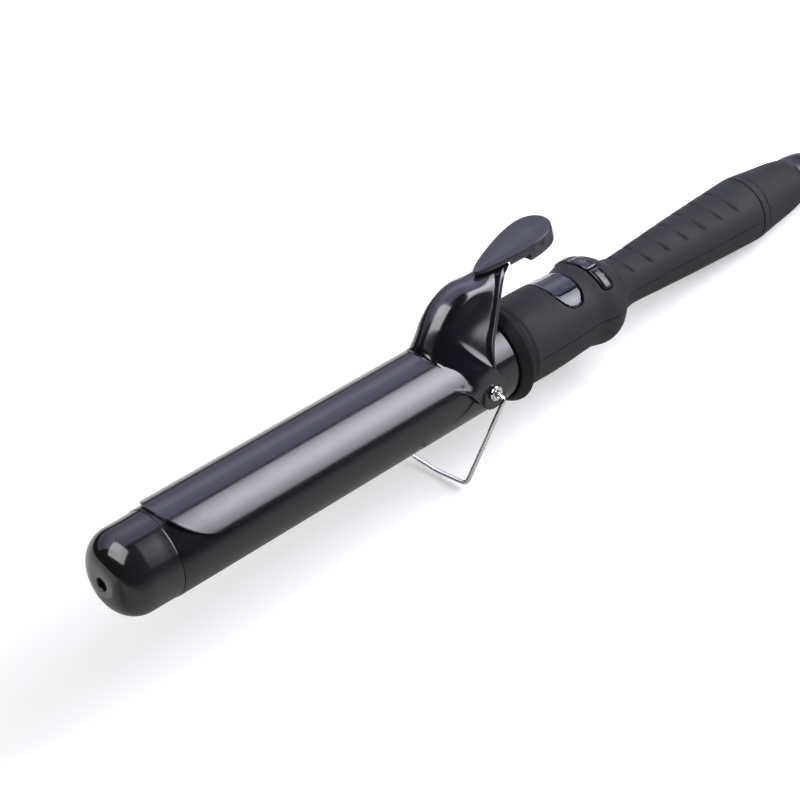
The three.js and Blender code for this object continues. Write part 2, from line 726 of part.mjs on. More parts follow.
function handleShellUpper() {
  let shell = handleShell(1);
  for (const x of SCREW_STATIONS) {
    const [post, bore] = upperPost(x);
    shell = shell.add(post).subtract(bore);
  }
  return shell.subtract(prism(windowOutline(GAP), BOARD_TOP, FAR)).subtract(buttonSlot());
}

function handleShellLower() {
  let shell = handleShell(-1);
  for (const x of SCREW_STATIONS) {
    const [post, bore] = lowerPost(x);
    shell = shell.add(post).subtract(bore);
  }
  return shell;
}

function displayLens() {
  const reach = WINDOW_LENGTH / 2 + 4.5;
  const over = handleLine(0.1, 45).filter(([x]) => Math.abs(x - WINDOW_X) < reach);
  const under = over.map(([x, r]) => [x, r - LENS_THICK]).reverse();
  return turned([...over, ...under], 56).intersect(prism(windowOutline(0), BOARD_TOP, FAR));
}

// ---------------------------------------------------------------- display, board and buttons

// A block about the middle of the window.
function underWindow(halfLength, halfWidth, bottom, top) {
  return block([WINDOW_X - halfLength, -halfWidth, bottom], [WINDOW_X + halfLength, halfWidth, top]);
}

function lcdModule() {
  return underWindow(LCD_HALF_LENGTH, LCD_HALF_WIDTH, LCD_SEAT + GAP, LCD_SEAT + 2.3);
}

function lcdHolder() {
  const rim = underWindow(LCD_HALF_LENGTH + 1, LCD_HALF_WIDTH + 0.75, BOARD_TOP + GAP, LCD_SEAT);
  return rim.subtract(underWindow(LCD_HALF_LENGTH - 1, LCD_HALF_WIDTH - 1.25, 0, FAR));
}

function controlBoard() {
  return block([BOARD_START, -BOARD_HALF, BOARD_TOP - BOARD_THICK], [BOARD_END, BOARD_HALF, BOARD_TOP]);
}

// Seat that holds the two outer switches square to their buttons.
function switchCarrier() {
  const seat = SWITCH_BACK - GAP;
  const shape = new THREE.Shape();
  const corner = seat * Math.tan(SIDE_ANGLE / 2);
  const tip = [seat * Math.sin(SIDE_ANGLE), seat * Math.cos(SIDE_ANGLE)];
  const run = 2.4;
  const end = [tip[0] + run * Math.cos(SIDE_ANGLE), tip[1] - run * Math.sin(SIDE_ANGLE)];
  shape.moveTo(-end[0], BOARD_TOP + GAP);
  shape.lineTo(end[0], BOARD_TOP + GAP);
  shape.lineTo(end[0], end[1]);
  shape.lineTo(corner, seat);
  shape.lineTo(-corner, seat);
  shape.lineTo(-end[0], end[1]);
  return slab(shape, BUTTON_X - 3, BUTTON_X + 3);
}

function pushSwitch(angle) {
  const half = 2;
  const shoulder = SWITCH_TOP_R - 0.8;
  const body = block([BUTTON_X - half, -half, SWITCH_BACK], [BUTTON_X + half, half, shoulder]);
  const plunger = rod([BUTTON_X, 0, shoulder - 0.4], [BUTTON_X, 0, SWITCH_TOP_R], 0.9, 12);
  return aroundX(body.add(plunger), angle);
}

// Curved key with a stem that stops just above its switch.
function button(from, to) {
  const half = BUTTON_LENGTH / 2;
  const edge = BUTTON_R - 0.9;
  const shoulder = [half - 0.8, BUTTON_R - 0.2];
  const crown = turned([
    [BUTTON_X - half, BUTTON_BACK_R],
    [BUTTON_X - half, edge],
    [BUTTON_X - shoulder[0], shoulder[1]],
    [BUTTON_X, BUTTON_R],
    [BUTTON_X + shoulder[0], shoulder[1]],
    [BUTTON_X + half, edge],
    [BUTTON_X + half, BUTTON_BACK_R],
  ], 72);
  const key = crown.intersect(wedge(from, to, BUTTON_X - half - 1, BUTTON_X + half + 1));
  const bottom = SWITCH_TOP_R + BUTTON_TRAVEL + 0.1;
  const top = BUTTON_BACK_R + 0.7;
  const stem = block([BUTTON_X - STEM_HALF, -STEM_HALF, bottom], [BUTTON_X + STEM_HALF, STEM_HALF, top]);
  return key.add(aroundX(stem, (from + to) / 2));
}

function leadWire(start, end, y, z) {
  return rod([start, y, z], [end, y, z], WIRE_LEAD_R, 8);
}

// ---------------------------------------------------------------- tail

function gripEndRing() {
  return ring(SHELL_END + GAP, TAIL_START - GAP, GRIP_R, TAIL_SLEEVE_R + 0.4);
}

function tailCone() {
  return turned([
    [TAIL_SLEEVE_START, TAIL_BORE_R],
    [TAIL_SLEEVE_START, TAIL_SLEEVE_R],
    [TAIL_START, TAIL_SLEEVE_R],
    [TAIL_START, 13.4],
    [326, 12.9],
    [331.5, 12.2],
    [337, 11.65],
    [342.5, 11],
    [TAIL_END - 1, 10.2],
    [TAIL_END, 9.6],
    [TAIL_END, STEM_R + GAP],
    [TAIL_STEP, STEM_R + GAP],
    [TAIL_STEP, TAIL_BORE_R],
  ], 36);
}

function slipContactPlate() {
  return ring(...CONTACT_PLATE, TAIL_BORE_R - 0.4, 1.2, 32);
}

// Domed end that turns with the mains lead, on a hollow stem.
function swivelCap() {
  const stemStart = CONTACT_PLATE[1] + 0.5;
  const [grooveStart, grooveEnd] = STEM_GROOVE;
  return turned([
    [stemStart, CORE_R],
    [stemStart, STEM_R],
    [grooveStart, STEM_R],
    [grooveStart, STEM_GROOVE_R],
    [grooveEnd, STEM_GROOVE_R],
    [grooveEnd, STEM_R],
    [CAP_START, STEM_R],
    [CAP_START, 9.2],
    [CAP_START + 1.1, 9.7],
    [354, 9.6],
    [358.5, 8.9],
    [362, 7.7],
    [364.6, 6.2],
    [TOOL_END, 5],
    [TOOL_END, CORD_R],
    [TOOL_END - CORD_DEPTH, CORD_R],
    [TOOL_END - CORD_DEPTH, CORE_R],
  ], 32);
}

// Open spring clip that keeps the stem in the tail.
function swivelClip() {
  const [start, end] = [STEM_GROOVE[0] + GAP, STEM_GROOVE[1] - GAP];
  const mouth = block([start - 1, -SWIVEL_CLIP_MOUTH, 0], [end + 1, SWIVEL_CLIP_MOUTH, FAR]);
  return ring(start, end, SWIVEL_CLIP_R, STEM_GROOVE_R + GAP, 32).subtract(mouth);
}

// ---------------------------------------------------------------- assembly

const GLOSS_BLACK = [0x0c0b10, 0.12];
const SOFT_BLACK = [0x27272a, 0.72];
const SATIN_BLACK = [0x2c2b31, 0.45];
const BRIGHT = [0xd8d6d2, 0.16, 1];
const ALUMINIUM = [0xb4b6b8, 0.4, 1];
const CERAMIC = [0xd9d4c7, 0.7];
const PLASTIC = [0xb9b7b0, 0.6];
const BRASS = [0xb08d4a, 0.35, 1];

const heated = new THREE.Group();
heated.add(
  piece('barrel_tube', barrelTube(), finish(...GLOSS_BLACK)),
  piece('tip_cap', tipCap(), finish(...GLOSS_BLACK)),
  piece('tip_screw', tipScrew(), finish(...BRIGHT)),
  piece('tip_anchor', tipAnchor(), finish(...ALUMINIUM)),
  piece('heat_spreader_upper', heatSpreader(1), finish(...ALUMINIUM)),
  piece('heat_spreader_lower', heatSpreader(-1), finish(...ALUMINIUM)),
  piece('heater_core', heaterCore(), finish(...CERAMIC)),
  piece('temperature_sensor', temperatureSensor(), finish(...CERAMIC)),
  piece('insulation_sleeve', insulationSleeve(), finish(...CERAMIC)),
  piece('pivot_saddle', pivotSaddle(), finish(...ALUMINIUM)),
  piece('pivot_rivet_left', pivotRivet(-1), finish(...BRIGHT)),
  piece('pivot_rivet_right', pivotRivet(1), finish(...BRIGHT)),
  piece('collar_ring', collarRing(), finish(...SOFT_BLACK)),
  piece('clip_spring', clipSpring(), finish(...BRIGHT)),
);

const clamp = new THREE.Group();
clamp.add(
  piece('clip', clip(), finish(...GLOSS_BLACK)),
  piece('thumb_pad', thumbPad(), finish(...SATIN_BLACK)),
  piece('pad_rivet_front', padRivet(PAD_RIVET_STATIONS[0]), finish(...BRIGHT)),
  piece('pad_rivet_rear', padRivet(PAD_RIVET_STATIONS[1]), finish(...BRIGHT)),
);

const stand = new THREE.Group();
stand.add(piece('wire_stand', wireStand(), finish(...BRIGHT)));

const handle = new THREE.Group();
handle.add(
  piece('handle_shell_upper', handleShellUpper(), finish(...SOFT_BLACK)),
  piece('handle_shell_lower', handleShellLower(), finish(...SOFT_BLACK)),
  piece('grip_end_ring', gripEndRing(), finish(...SOFT_BLACK)),
  piece('tail_cone', tailCone(), finish(...SOFT_BLACK)),
  piece('display_lens', displayLens(), finish(...GLOSS_BLACK)),
  piece('lcd_module', lcdModule(), finish(0x2f6fe0, 0.3)),
  piece('lcd_holder', lcdHolder(), finish(...PLASTIC)),
  piece('control_board', controlBoard(), finish(0x1f5a3a, 0.5)),
  piece('switch_carrier', switchCarrier(), finish(...PLASTIC)),
  piece('slip_contact_plate', slipContactPlate(), finish(...BRASS)),
);

const SCREW_NAMES = ['front', 'middle', 'rear'];
SCREW_STATIONS.forEach((x, i) => {
  handle.add(piece(`shell_screw_${SCREW_NAMES[i]}`, shellScrew(x), finish(...BRIGHT)));
});

for (const [side, name] of [[-1, 'live'], [1, 'neutral']]) {
  const heater = leadWire(HEATER[1] + 1, BOARD_START - GAP, side * 4, 0.9);
  const mains = leadWire(BOARD_END + GAP, CONTACT_PLATE[0] - GAP, side * 4.6, 1.2);
  handle.add(piece(`heater_wire_${name}`, heater, finish(0xc9c2b2, 0.6)));
  handle.add(piece(`mains_wire_${name}`, mains, finish(0x8a3b2a, 0.6)));
}

// Looking at the display with the tip pointing up, -Y is the left-hand side.
const KEYS = [
  ['temp_down', -BUTTON_SIDE[1], -BUTTON_SIDE[0]],
  ['power', -BUTTON_HALF, BUTTON_HALF],
  ['temp_up', BUTTON_SIDE[0], BUTTON_SIDE[1]],
];
for (const [name, from, to] of KEYS) {
  handle.add(piece(`${name}_button`, button(from, to), finish(...GLOSS_BLACK)));
  const angle = name === 'power' ? 0 : Math.sign(from) * SIDE_ANGLE;
  handle.add(piece(`${name}_switch`, pushSwitch(angle), finish(0x17171a, 0.6)));
}

const outlet = new THREE.Group();
outlet.add(
  piece('swivel_cap', swivelCap(), finish(...SATIN_BLACK)),
  piece('swivel_clip', swivelClip(), finish(...BRIGHT)),
);

const tool = new THREE.Group();
tool.add(heated, clamp, stand, handle, outlet);
tool.rotation.y = REST_TILT;

const curlingIron = new THREE.Group();
curlingIron.add(tool);
const reach = new THREE.Box3().setFromObject(curlingIron, true);
tool.position.set(-(reach.min.x + reach.max.x) / 2, 0, -reach.min.z);

export default curlingIron;
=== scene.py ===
import bisect
import math

import bmesh
import bpy
from mathutils import Matrix, Vector
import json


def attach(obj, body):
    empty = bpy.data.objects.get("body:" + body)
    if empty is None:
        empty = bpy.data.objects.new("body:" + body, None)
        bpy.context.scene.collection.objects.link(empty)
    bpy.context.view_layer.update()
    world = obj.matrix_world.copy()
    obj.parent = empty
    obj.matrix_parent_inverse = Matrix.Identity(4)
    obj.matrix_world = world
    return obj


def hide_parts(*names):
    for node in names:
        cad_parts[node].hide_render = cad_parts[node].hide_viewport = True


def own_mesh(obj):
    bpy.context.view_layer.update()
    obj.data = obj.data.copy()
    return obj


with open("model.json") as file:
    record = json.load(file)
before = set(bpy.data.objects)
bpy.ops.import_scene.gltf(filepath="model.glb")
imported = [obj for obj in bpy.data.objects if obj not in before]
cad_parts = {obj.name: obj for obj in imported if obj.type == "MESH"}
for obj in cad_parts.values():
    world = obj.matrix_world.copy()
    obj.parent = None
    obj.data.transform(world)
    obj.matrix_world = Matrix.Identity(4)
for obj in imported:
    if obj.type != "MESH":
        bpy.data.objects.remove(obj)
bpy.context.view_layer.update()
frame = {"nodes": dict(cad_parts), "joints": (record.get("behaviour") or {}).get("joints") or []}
NODES = frame["nodes"]
JOINTS = {j["name"]: j for j in frame["joints"]}

# ---------------- the tool's own axes
# Shapes are written in millimetres along the tool: x from the tip's face to the cord outlet, z out
# through the display, y across. TOOL carries them to the frame, in metres.

PIVOT_X = 161
PIVOT = Vector(JOINTS["clip_hinge"]["pos_m"])
ALONG = Vector(JOINTS["cord_swivel"]["axis"]).normalized()
UP = -Vector(JOINTS["power_press"]["axis"]).normalized()
ACROSS = UP.cross(ALONG)
TOOL = Matrix((ALONG, ACROSS, UP)).transposed().to_4x4()
TOOL.translation = PIVOT - ALONG * PIVOT_X / 1000
TOOL = TOOL @ Matrix.Scale(0.001, 4)


def at(x, y, z):
    return TOOL @ Vector((x, y, z))


def turn_only(x, y, z):
    return (TOOL.to_3x3() @ Vector((x, y, z))).normalized()


# ---------------- materials

GRAIN_DEPTH = 0.00002
SCRATCH_DEPTH = 0.00001


def fresh(name):
    mat = bpy.data.materials.new(name)
    mat.use_nodes = True
    tree = mat.node_tree
    bsdf = tree.nodes["Principled BSDF"]
    return mat, tree, bsdf


def coords(tree, scale=(1, 1, 1)):
    """Object coordinates in millimetres, stretched by scale."""
    coord = tree.nodes.new("ShaderNodeTexCoord")
    mapping = tree.nodes.new("ShaderNodeMapping")
    mapping.inputs["Scale"].default_value = [1000 * s for s in scale]
    tree.links.new(coord.outputs["Object"], mapping.inputs["Vector"])
    return mapping.outputs["Vector"]


def noise(tree, vector, scale, detail=3, rough=0.55):
    node = tree.nodes.new("ShaderNodeTexNoise")
    node.inputs["Scale"].default_value = scale
    node.inputs["Detail"].default_value = detail
    node.inputs["Roughness"].default_value = rough
    tree.links.new(vector, node.inputs["Vector"])
    return node.outputs["Fac"]


def span(tree, value, low, high, start=0.3, end=0.7):
    node = tree.nodes.new("ShaderNodeMapRange")
    node.inputs["From Min"].default_value = start
    node.inputs["From Max"].default_value = end
    node.inputs["To Min"].default_value = low
    node.inputs["To Max"].default_value = high
    tree.links.new(value, node.inputs["Value"])
    return node.outputs["Result"]


def blend_colour(tree, value, a, b):
    node = tree.nodes.new("ShaderNodeMix")
    node.data_type = "RGBA"
    node.inputs["A"].default_value = (*a, 1)
    node.inputs["B"].default_value = (*b, 1)
    tree.links.new(value, node.inputs["Factor"])
    return node.outputs["Result"]


def bump(tree, bsdf, height, strength, distance):
    node = tree.nodes.new("ShaderNodeBump")
    node.inputs["Strength"].default_value = strength
    node.inputs["Distance"].default_value = distance
    tree.links.new(height, node.inputs["Height"])
    tree.links.new(node.outputs["Normal"], bsdf.inputs["Normal"])


def moulded(name, dark, light, rough, grain, grain_scale=3.2, wave=0.0, specular=0.5, ior=1.5):
    """Moulded plastic or lacquer: slow colour drift, uneven gloss and a fine surface grain."""
    mat, tree, bsdf = fresh(name)
    vector = coords(tree)
    drift = noise(tree, vector, 0.05, 2)
    tree.links.new(blend_colour(tree, drift, dark, light), bsdf.inputs["Base Color"])
    smudge = noise(tree, vector, 0.11, 5, 0.65)
    tree.links.new(span(tree, smudge, rough[0], rough[1]), bsdf.inputs["Roughness"])
    fine = noise(tree, vector, grain_scale, 2)
    if wave:
        slow = noise(tree, vector, 0.16, 1)
        add = tree.nodes.new("ShaderNodeMath")
        add.operation = "MULTIPLY_ADD"
        add.inputs[1].default_value = wave
        tree.links.new(slow, add.inputs[0])
        tree.links.new(fine, add.inputs[2])
        fine = add.outputs["Value"]
    bump(tree, bsdf, fine, grain, GRAIN_DEPTH)
    bsdf.inputs["IOR"].default_value = ior
    bsdf.inputs["Specular IOR Level"].default_value = specular
    return mat


def metal(name, tint, rough, stretch=(1, 1, 1), scratch=0.15):
    """Plated or bare metal with drawn or turned marks along stretch."""
    mat, tree, bsdf = fresh(name)
    vector = coords(tree, stretch)
    marks = noise(tree, vector, 1.6, 4, 0.6)
    cloud = noise(tree, coords(tree), 0.2, 3)
    dark = [c * 0.82 for c in tint]
    tree.links.new(blend_colour(tree, cloud, dark, tint), bsdf.inputs["Base Color"])
    tree.links.new(span(tree, marks, rough[0], rough[1]), bsdf.inputs["Roughness"])
    bump(tree, bsdf, marks, scratch, SCRATCH_DEPTH)
    bsdf.inputs["Metallic"].default_value = 1
    return mat


def glowing(name, low, high, strength, rough=0.25, scale=0.12):
    mat, tree, bsdf = fresh(name)
    glow = noise(tree, coords(tree), scale, 2)
    colour = blend_colour(tree, glow, low, high)
    tree.links.new(colour, bsdf.inputs["Base Color"])
    tree.links.new(colour, bsdf.inputs["Emission Color"])
    bsdf.inputs["Emission Strength"].default_value = strength
    bsdf.inputs["Roughness"].default_value = rough
    return mat


BARREL_BLACK = moulded(
    "barrel_black", (0.006, 0.006, 0.008), (0.009, 0.009, 0.011), (0.1, 0.16), 0.03, 1.2, 0.5
)
CLIP_BLACK = moulded(
    "clip_black", (0.006, 0.006, 0.009), (0.009, 0.008, 0.012), (0.13, 0.19), 0.03, 1.2, 0.6, ior=1.6
)
GLOSS_BLACK = moulded(
    "gloss_black", (0.011, 0.011, 0.0125), (0.015, 0.015, 0.017), (0.09, 0.15), 0.04, 1.6, 0.5
)
SOFT_BLACK = moulded(
    "soft_touch", (0.012, 0.0122, 0.0142), (0.0155, 0.0158, 0.018), (0.6, 0.72), 0.6, 5.5, specular=0.36
)
# Painted shade: the collar's soft-touch black, made darker and less glossy than soft_touch so that its front
# face looks as if it sits in shade, turned away from the lights.
COLLAR_SHADED_BLACK = moulded(
    "collar_painted_shade", (0.006, 0.006, 0.0072), (0.008, 0.008, 0.0096), (0.5, 0.62), 0.5, 5, specular=0.2
)
SATIN_BLACK = moulded("satin_black", (0.018, 0.018, 0.025), (0.026, 0.026, 0.035), (0.24, 0.38), 0.3, 4.5)
SWITCH_BLACK = moulded("switch_black", (0.02, 0.02, 0.021), (0.03, 0.03, 0.03), (0.5, 0.62), 0.3, 4)
WHITE_PLASTIC = moulded("white_plastic", (0.62, 0.6, 0.55), (0.7, 0.69, 0.65), (0.4, 0.55), 0.2, 3)
CERAMIC = moulded("ceramic", (0.66, 0.62, 0.54), (0.78, 0.75, 0.68), (0.6, 0.8), 0.5, 2.6)
BOARD_GREEN = moulded("board_green", (0.01, 0.09, 0.04), (0.02, 0.16, 0.07), (0.25, 0.42), 0.4, 1.4)
NICKEL = metal("nickel", (0.80, 0.79, 0.77), (0.10, 0.2))
WIRE_NICKEL = metal("wire_nickel", (0.80, 0.79, 0.77), (0.12, 0.24), (0.15, 1, 1))
SPRING_STEEL = metal("spring_steel", (0.5, 0.5, 0.52), (0.22, 0.36), (0.1, 1, 1), 0.3)
ALUMINIUM = metal("aluminium", (0.66, 0.67, 0.69), (0.3, 0.5), (0.2, 1, 1), 0.4)
BRASS = metal("brass", (0.62, 0.44, 0.19), (0.25, 0.4), (1, 1, 1), 0.3)
COPPER_LEAD = moulded("heater_lead", (0.5, 0.46, 0.38), (0.62, 0.58, 0.5), (0.5, 0.7), 0.5, 3)
MAINS_RED = moulded("mains_core", (0.22, 0.05, 0.03), (0.3, 0.07, 0.045), (0.35, 0.5), 0.2, 3)
LCD_LIT = glowing("lcd_lit", (0.02, 0.14, 0.55), (0.03, 0.3, 0.65), 0.2)
LCD_FRAME = glowing("lcd_frame", (0.01, 0.012, 0.16), (0.015, 0.02, 0.26), 0.15)
LCD_DARK = moulded("lcd_segment", (0.008, 0.009, 0.08), (0.012, 0.012, 0.1), (0.3, 0.4), 0.05)
LED_BLUE = glowing("led_blue", (0.03, 0.1, 0.4), (0.05, 0.16, 0.5), 0.12)


def smoked_lens():
    mat, tree, bsdf = fresh("smoked_lens")
    vector = coords(tree)
    smudge = noise(tree, vector, 0.2, 4)
    tint = noise(tree, vector, 0.06, 2)
    colour = blend_colour(tree, tint, (0.12, 0.115, 0.15), (0.16, 0.15, 0.2))
    tree.links.new(colour, bsdf.inputs["Base Color"])
    tree.links.new(span(tree, smudge, 0.02, 0.07), bsdf.inputs["Roughness"])
    bsdf.inputs["Transmission Weight"].default_value = 1
    bsdf.inputs["IOR"].default_value = 1.49
    return mat


LENS = smoked_lens()

# ---------------- making pieces


def put(name, verts, faces, mat, body, stands_for=(), slot=None, sharp=40, bevel=None):
    """A closed mesh from millimetre points, smooth-shaded, riding on a body."""
    obj = raw(verts, faces, name)
    obj.data.materials.append(mat)
    if bevel:
        add_bevel(obj, *bevel)
    shade(obj, sharp)
    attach(obj, body)
    if stands_for:
        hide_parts(*stands_for)
    return obj


def shade(obj, sharp=40):
    bm = bmesh.new()
    bm.from_mesh(obj.data)
    for face in bm.faces:
        face.smooth = True
    limit = math.radians(sharp)
    for edge in bm.edges:
        edge.smooth = len(edge.link_faces) == 2 and edge.calc_face_angle(0) < limit
    bm.to_mesh(obj.data)
    bm.free()


def bake(obj):
    """Apply the object's modifiers to its mesh."""
    graph = bpy.context.evaluated_depsgraph_get()
    graph.update()
    mesh = bpy.data.meshes.new_from_object(obj.evaluated_get(graph))
    obj.modifiers.clear()
    obj.data = mesh
    return obj


def add_bevel(obj, width, segments=3, angle=35):
    mod = obj.modifiers.new("bevel", "BEVEL")
    mod.width = width / 1000
    mod.segments = segments
    mod.limit_method = "ANGLE"
    mod.angle_limit = math.radians(angle)
    mod.harden_normals = False
    bake(obj)


def cut(obj, tools, operation="DIFFERENCE"):
    for tool in tools:
        mod = obj.modifiers.new("cut", "BOOLEAN")
        mod.operation = operation
        mod.object = tool
        mod.solver = "EXACT"
        bake(obj)
        bpy.data.objects.remove(tool)
    return obj


def placed(name, data):
    """A new object in the scene for a mesh, light or camera."""
    obj = bpy.data.objects.new(name, data)
    bpy.context.scene.collection.objects.link(obj)
    return obj


def raw(verts, faces, name="cutter"):
    """A closed mesh from millimetre points, with no material: as it stands, only good for cutting."""
    mesh = bpy.data.meshes.new(name)
    mesh.from_pydata([at(*v) for v in verts], [], faces)
    bm = bmesh.new()
    bm.from_mesh(mesh)
    bmesh.ops.remove_doubles(bm, verts=bm.verts, dist=1e-7)
    bmesh.ops.recalc_face_normals(bm, faces=bm.faces)
    bm.to_mesh(mesh)
    bm.free()
    return placed(name, mesh)


def rounded(profile, steps=4):
    """Round a closed profile's corners: each point is (x, r) or (x, r, radius)."""
    out = []
    n = len(profile)
    for i, p in enumerate(profile):
        corner = Vector(p[:2])
        size = p[2] if len(p) > 2 else 0
        before = Vector(profile[i - 1][:2]) - corner
        after = Vector(profile[(i + 1) % n][:2]) - corner
        if size <= 0:
            out.append(tuple(corner))
            continue
        reach = min(size, before.length * 0.48, after.length * 0.48)
        a = corner + before.normalized() * reach
        b = corner + after.normalized() * reach
        for k in range(steps + 1):
            t = k / steps
            q = a * (1 - t) ** 2 + corner * 2 * t * (1 - t) + b * t * t
            out.append(tuple(q))
    return out


def lathe(profile, facets=96, origin=(0, 0, 0), axis="x"):
    """Turn a closed profile of (along, radius) points about an axis through origin."""
    verts = []
    faces = []
    n = len(profile)
    for k in range(facets):
        turn = 2 * math.pi * k / facets
        for along, radius in profile:
            c, s = radius * math.cos(turn), radius * math.sin(turn)
            spot = {"x": (along, s, c), "y": (s, along, c), "z": (c, s, along)}[axis]
            verts.append(tuple(a + b for a, b in zip(spot, origin)))
    for k in range(facets):
        for i in range(n):
            a = k * n + i
            b = k * n + (i + 1) % n
            m = (k + 1) % facets
            faces.append((a, b, m * n + (i + 1) % n, m * n + i))
    return verts, faces


def prism(outline, low, high, plane="xy"):
    """Push a closed outline from low to high, square to its plane."""
    n = len(outline)
    upright = plane == "xz"
    verts = [(a, h, b) if upright else (a, b, h) for h in (low, high) for a, b in outline]
    faces = [tuple(range(n))[::-1], tuple(range(n, 2 * n))]
    faces += [(i, (i + 1) % n, n + (i + 1) % n, n + i) for i in range(n)]
    return verts, faces


def box_mesh(low, high):
    outline = [(low[0], low[1]), (high[0], low[1]), (high[0], high[1]), (low[0], high[1])]
    return prism(outline, low[2], high[2])


def about_x(verts, angle):
    """Tilt points from +z towards +y by angle about the tool's axis."""
    c, s = math.cos(angle), math.sin(angle)
    return [(x, y * c + z * s, z * c - y * s) for x, y, z in verts]


def grid_faces(rows, columns, base=0, wrap=False):
    faces = []
    for i in range(rows - 1):
        for j in range(columns if wrap else columns - 1):
            k = (j + 1) % columns
            faces.append((base + i * columns + j, base + (i + 1) * columns + j,
                          base + (i + 1) * columns + k, base + i * columns + k))
    return faces


def stacked(rows, closed=True):
    """A solid from rings of points laid one above another, with both ends closed unless told otherwise."""
    count = len(rows[0])
    verts = [tuple(p) for row in rows for p in row]
    faces = grid_faces(len(rows), count, 0, True)
    if closed:
        faces.append(tuple(range(count)))
        faces.append(tuple(range(len(verts) - count, len(verts)))[::-1])
    return verts, faces


def merge(*parts):
    verts, faces = [], []
    for v, f in parts:
        base = len(verts)
        verts += v
        faces += [tuple(i + base for i in face) for face in f]
    return verts, faces


def smooth_step(value, low, high):
    t = min(1, max(0, (value - low) / (high - low)))
    return t * t * (3 - 2 * t)


def lerp(a, b, t):
    return a + (b - a) * t


def table_at(pairs, x):
    """Value at x on straight lines through pairs of (x, value), held level past the ends."""
    i = min(max(bisect.bisect_right(pairs, x, key=lambda pair: pair[0]), 1), len(pairs) - 1)
    (x0, y0), (x1, y1) = pairs[i - 1], pairs[i]
    return lerp(y0, y1, min(1, max(0, (x - x0) / (x1 - x0))))


def catmull(points, t):
    """Point at t from 0 to 1 along a spline through the points."""
    n = len(points) - 1
    p = t * n
    i = min(int(p), n - 1)
    w = p - i
    p0, p1 = points[max(i - 1, 0)], points[i]
    p2, p3 = points[i + 1], points[min(i + 2, n)]
    out = []
    for a, b, c, d in zip(p0, p1, p2, p3):
        v0, v1 = (c - a) / 2, (d - b) / 2
        cubic = 2 * b - 2 * c + v0 + v1
        square = 3 * c - 3 * b - 2 * v0 - v1
        out.append(cubic * w ** 3 + square * w * w + v0 * w + b)
    return tuple(out)


def respaced(points, spacing):
    """Points along straight lines through points, at the distances that spacing gives for their length."""
    lengths = [0]
    for a, b in zip(points, points[1:]):
        lengths.append(lengths[-1] + math.dist(a, b))
    out = []
    k = 0
    for goal in spacing(lengths[-1]):
        while k < len(points) - 2 and lengths[k + 1] < goal:
            k += 1
        step = lengths[k + 1] - lengths[k]
        w = (goal - lengths[k]) / step if step else 0
        out.append(tuple(lerp(a, b, w) for a, b in zip(points[k], points[k + 1])))
    return out


def even(points, count):
    """count points spaced evenly along the spline through points."""
    dense = [catmull(points, i / 400) for i in range(401)]
    return respaced(dense, lambda length: [length * i / (count - 1) for i in range(count)])


# ---------------- barrel and tip

BARREL_R = 16
BORE_R = 14.75
TIP_R = 15.7
TIP_ROUND = 10.5

put(
    "barrel",
    *lathe(rounded([(21.6, 15.05), (21.6, BARREL_R, 0.12), (185, BARREL_R, 0.3), (185, 15.05)]), 160),
    BARREL_BLACK, "housing", ["barrel_tube"], "barrel_black",
)

nose = [(0.0, 2.35, 0.5)]
for i in range(25):
    turn = math.pi / 2 * i / 24
    nose.append((TIP_ROUND * (1 - math.cos(turn)), TIP_R - TIP_ROUND + TIP_ROUND * math.sin(turn)))
tip_profile = nose + [
    (17, TIP_R), (20.9, 15.83, 0.3), (21.45, 15.83, 0.12), (21.45, BORE_R), (26, BORE_R, 0.4), (26, 12.35),
    (8, 12.35), (4.5, 8.4), (4.5, 4.2), (15, 4.2), (15, 1.45), (12, 1.45), (12, 2.35),
]
put(
    "tip",
    *lathe(rounded(tip_profile), 128),
    GLOSS_BLACK, "housing", ["tip_cap"], "gloss_black_plastic", sharp=35,
)

# ---------------- clip: jaw and lever

JAW_R = 17.3
JAW_HALF = math.radians(68)
EAR_Y = 17.9
EAR_R = 6.6
SHEET = 1.0
COLUMNS = 64
RIDGE = [
    (-19, JAW_R), (-17.2, 21), (-12, 28.3), (-6.2, 33.4), (1.5, 36.2), (10, 35.75), (17, 37), (23.5, 38.2),
]

edge_line = [(-16, 16.25, 6.5), (-13, 16.85, 5.4), (-10.4, 17.4, 3.2), (-8.4, 17.7, 0.4)]
for i in range(8):
    turn = math.radians(216 + 164 * i / 7)
    edge_line.append((EAR_R * math.cos(turn), EAR_Y, EAR_R * math.sin(turn)))
edge_line += [
    (4.6, EAR_Y, 4.4), (2.2, 17.8, 8.2), (2.8, 16.4, 12), (5, 14.4, 16.2), (8.6, 12.3, 20.4),
    (12.4, 10.2, 25), (16.4, 7.9, 30.4), (20, 6.1, 35), (23.2, 5, 37.6),
]
RIDGE_STEPS = 400
ridge_dense = even(RIDGE, RIDGE_STEPS + 1)


def ridge_at(share):
    """The point at share of the way along the ridge, from the crease to the tongue's end."""
    p = share * RIDGE_STEPS
    i = min(int(p), RIDGE_STEPS - 1)
    return tuple(lerp(a, b, p - i) for a, b in zip(ridge_dense[i], ridge_dense[i + 1]))


# Half width of the crown along the ridge, as (share of the way up the lever, width).
CROWN_HALF = [(0, 15.5), (0.08, 11), (0.16, 7.8), (0.3, 6.3), (0.5, 6.4), (0.75, 6.5), (0.9, 6.3), (1, 4)]
CROWN_SAG = 0.26
CROWN_LIMIT = 0.8
KNEE_LOW = 7
KNEE_HIGH = 9.5
SHOULDER_Z = 4
WALL_FLARE = 0.5
BEAD = 3.2
BEAD_RISE = 0.6


def edge_spaced(length):
    """Distances from the ridge to a sheet's edge, closer together along the edge."""
    zone = min(3.2, 0.4 * length)
    inner = COLUMNS // 2 - 10
    out = [(length - zone) * k / inner for k in range(inner)]
    return out + [length - zone * (1 - k / 10) for k in range(11)]


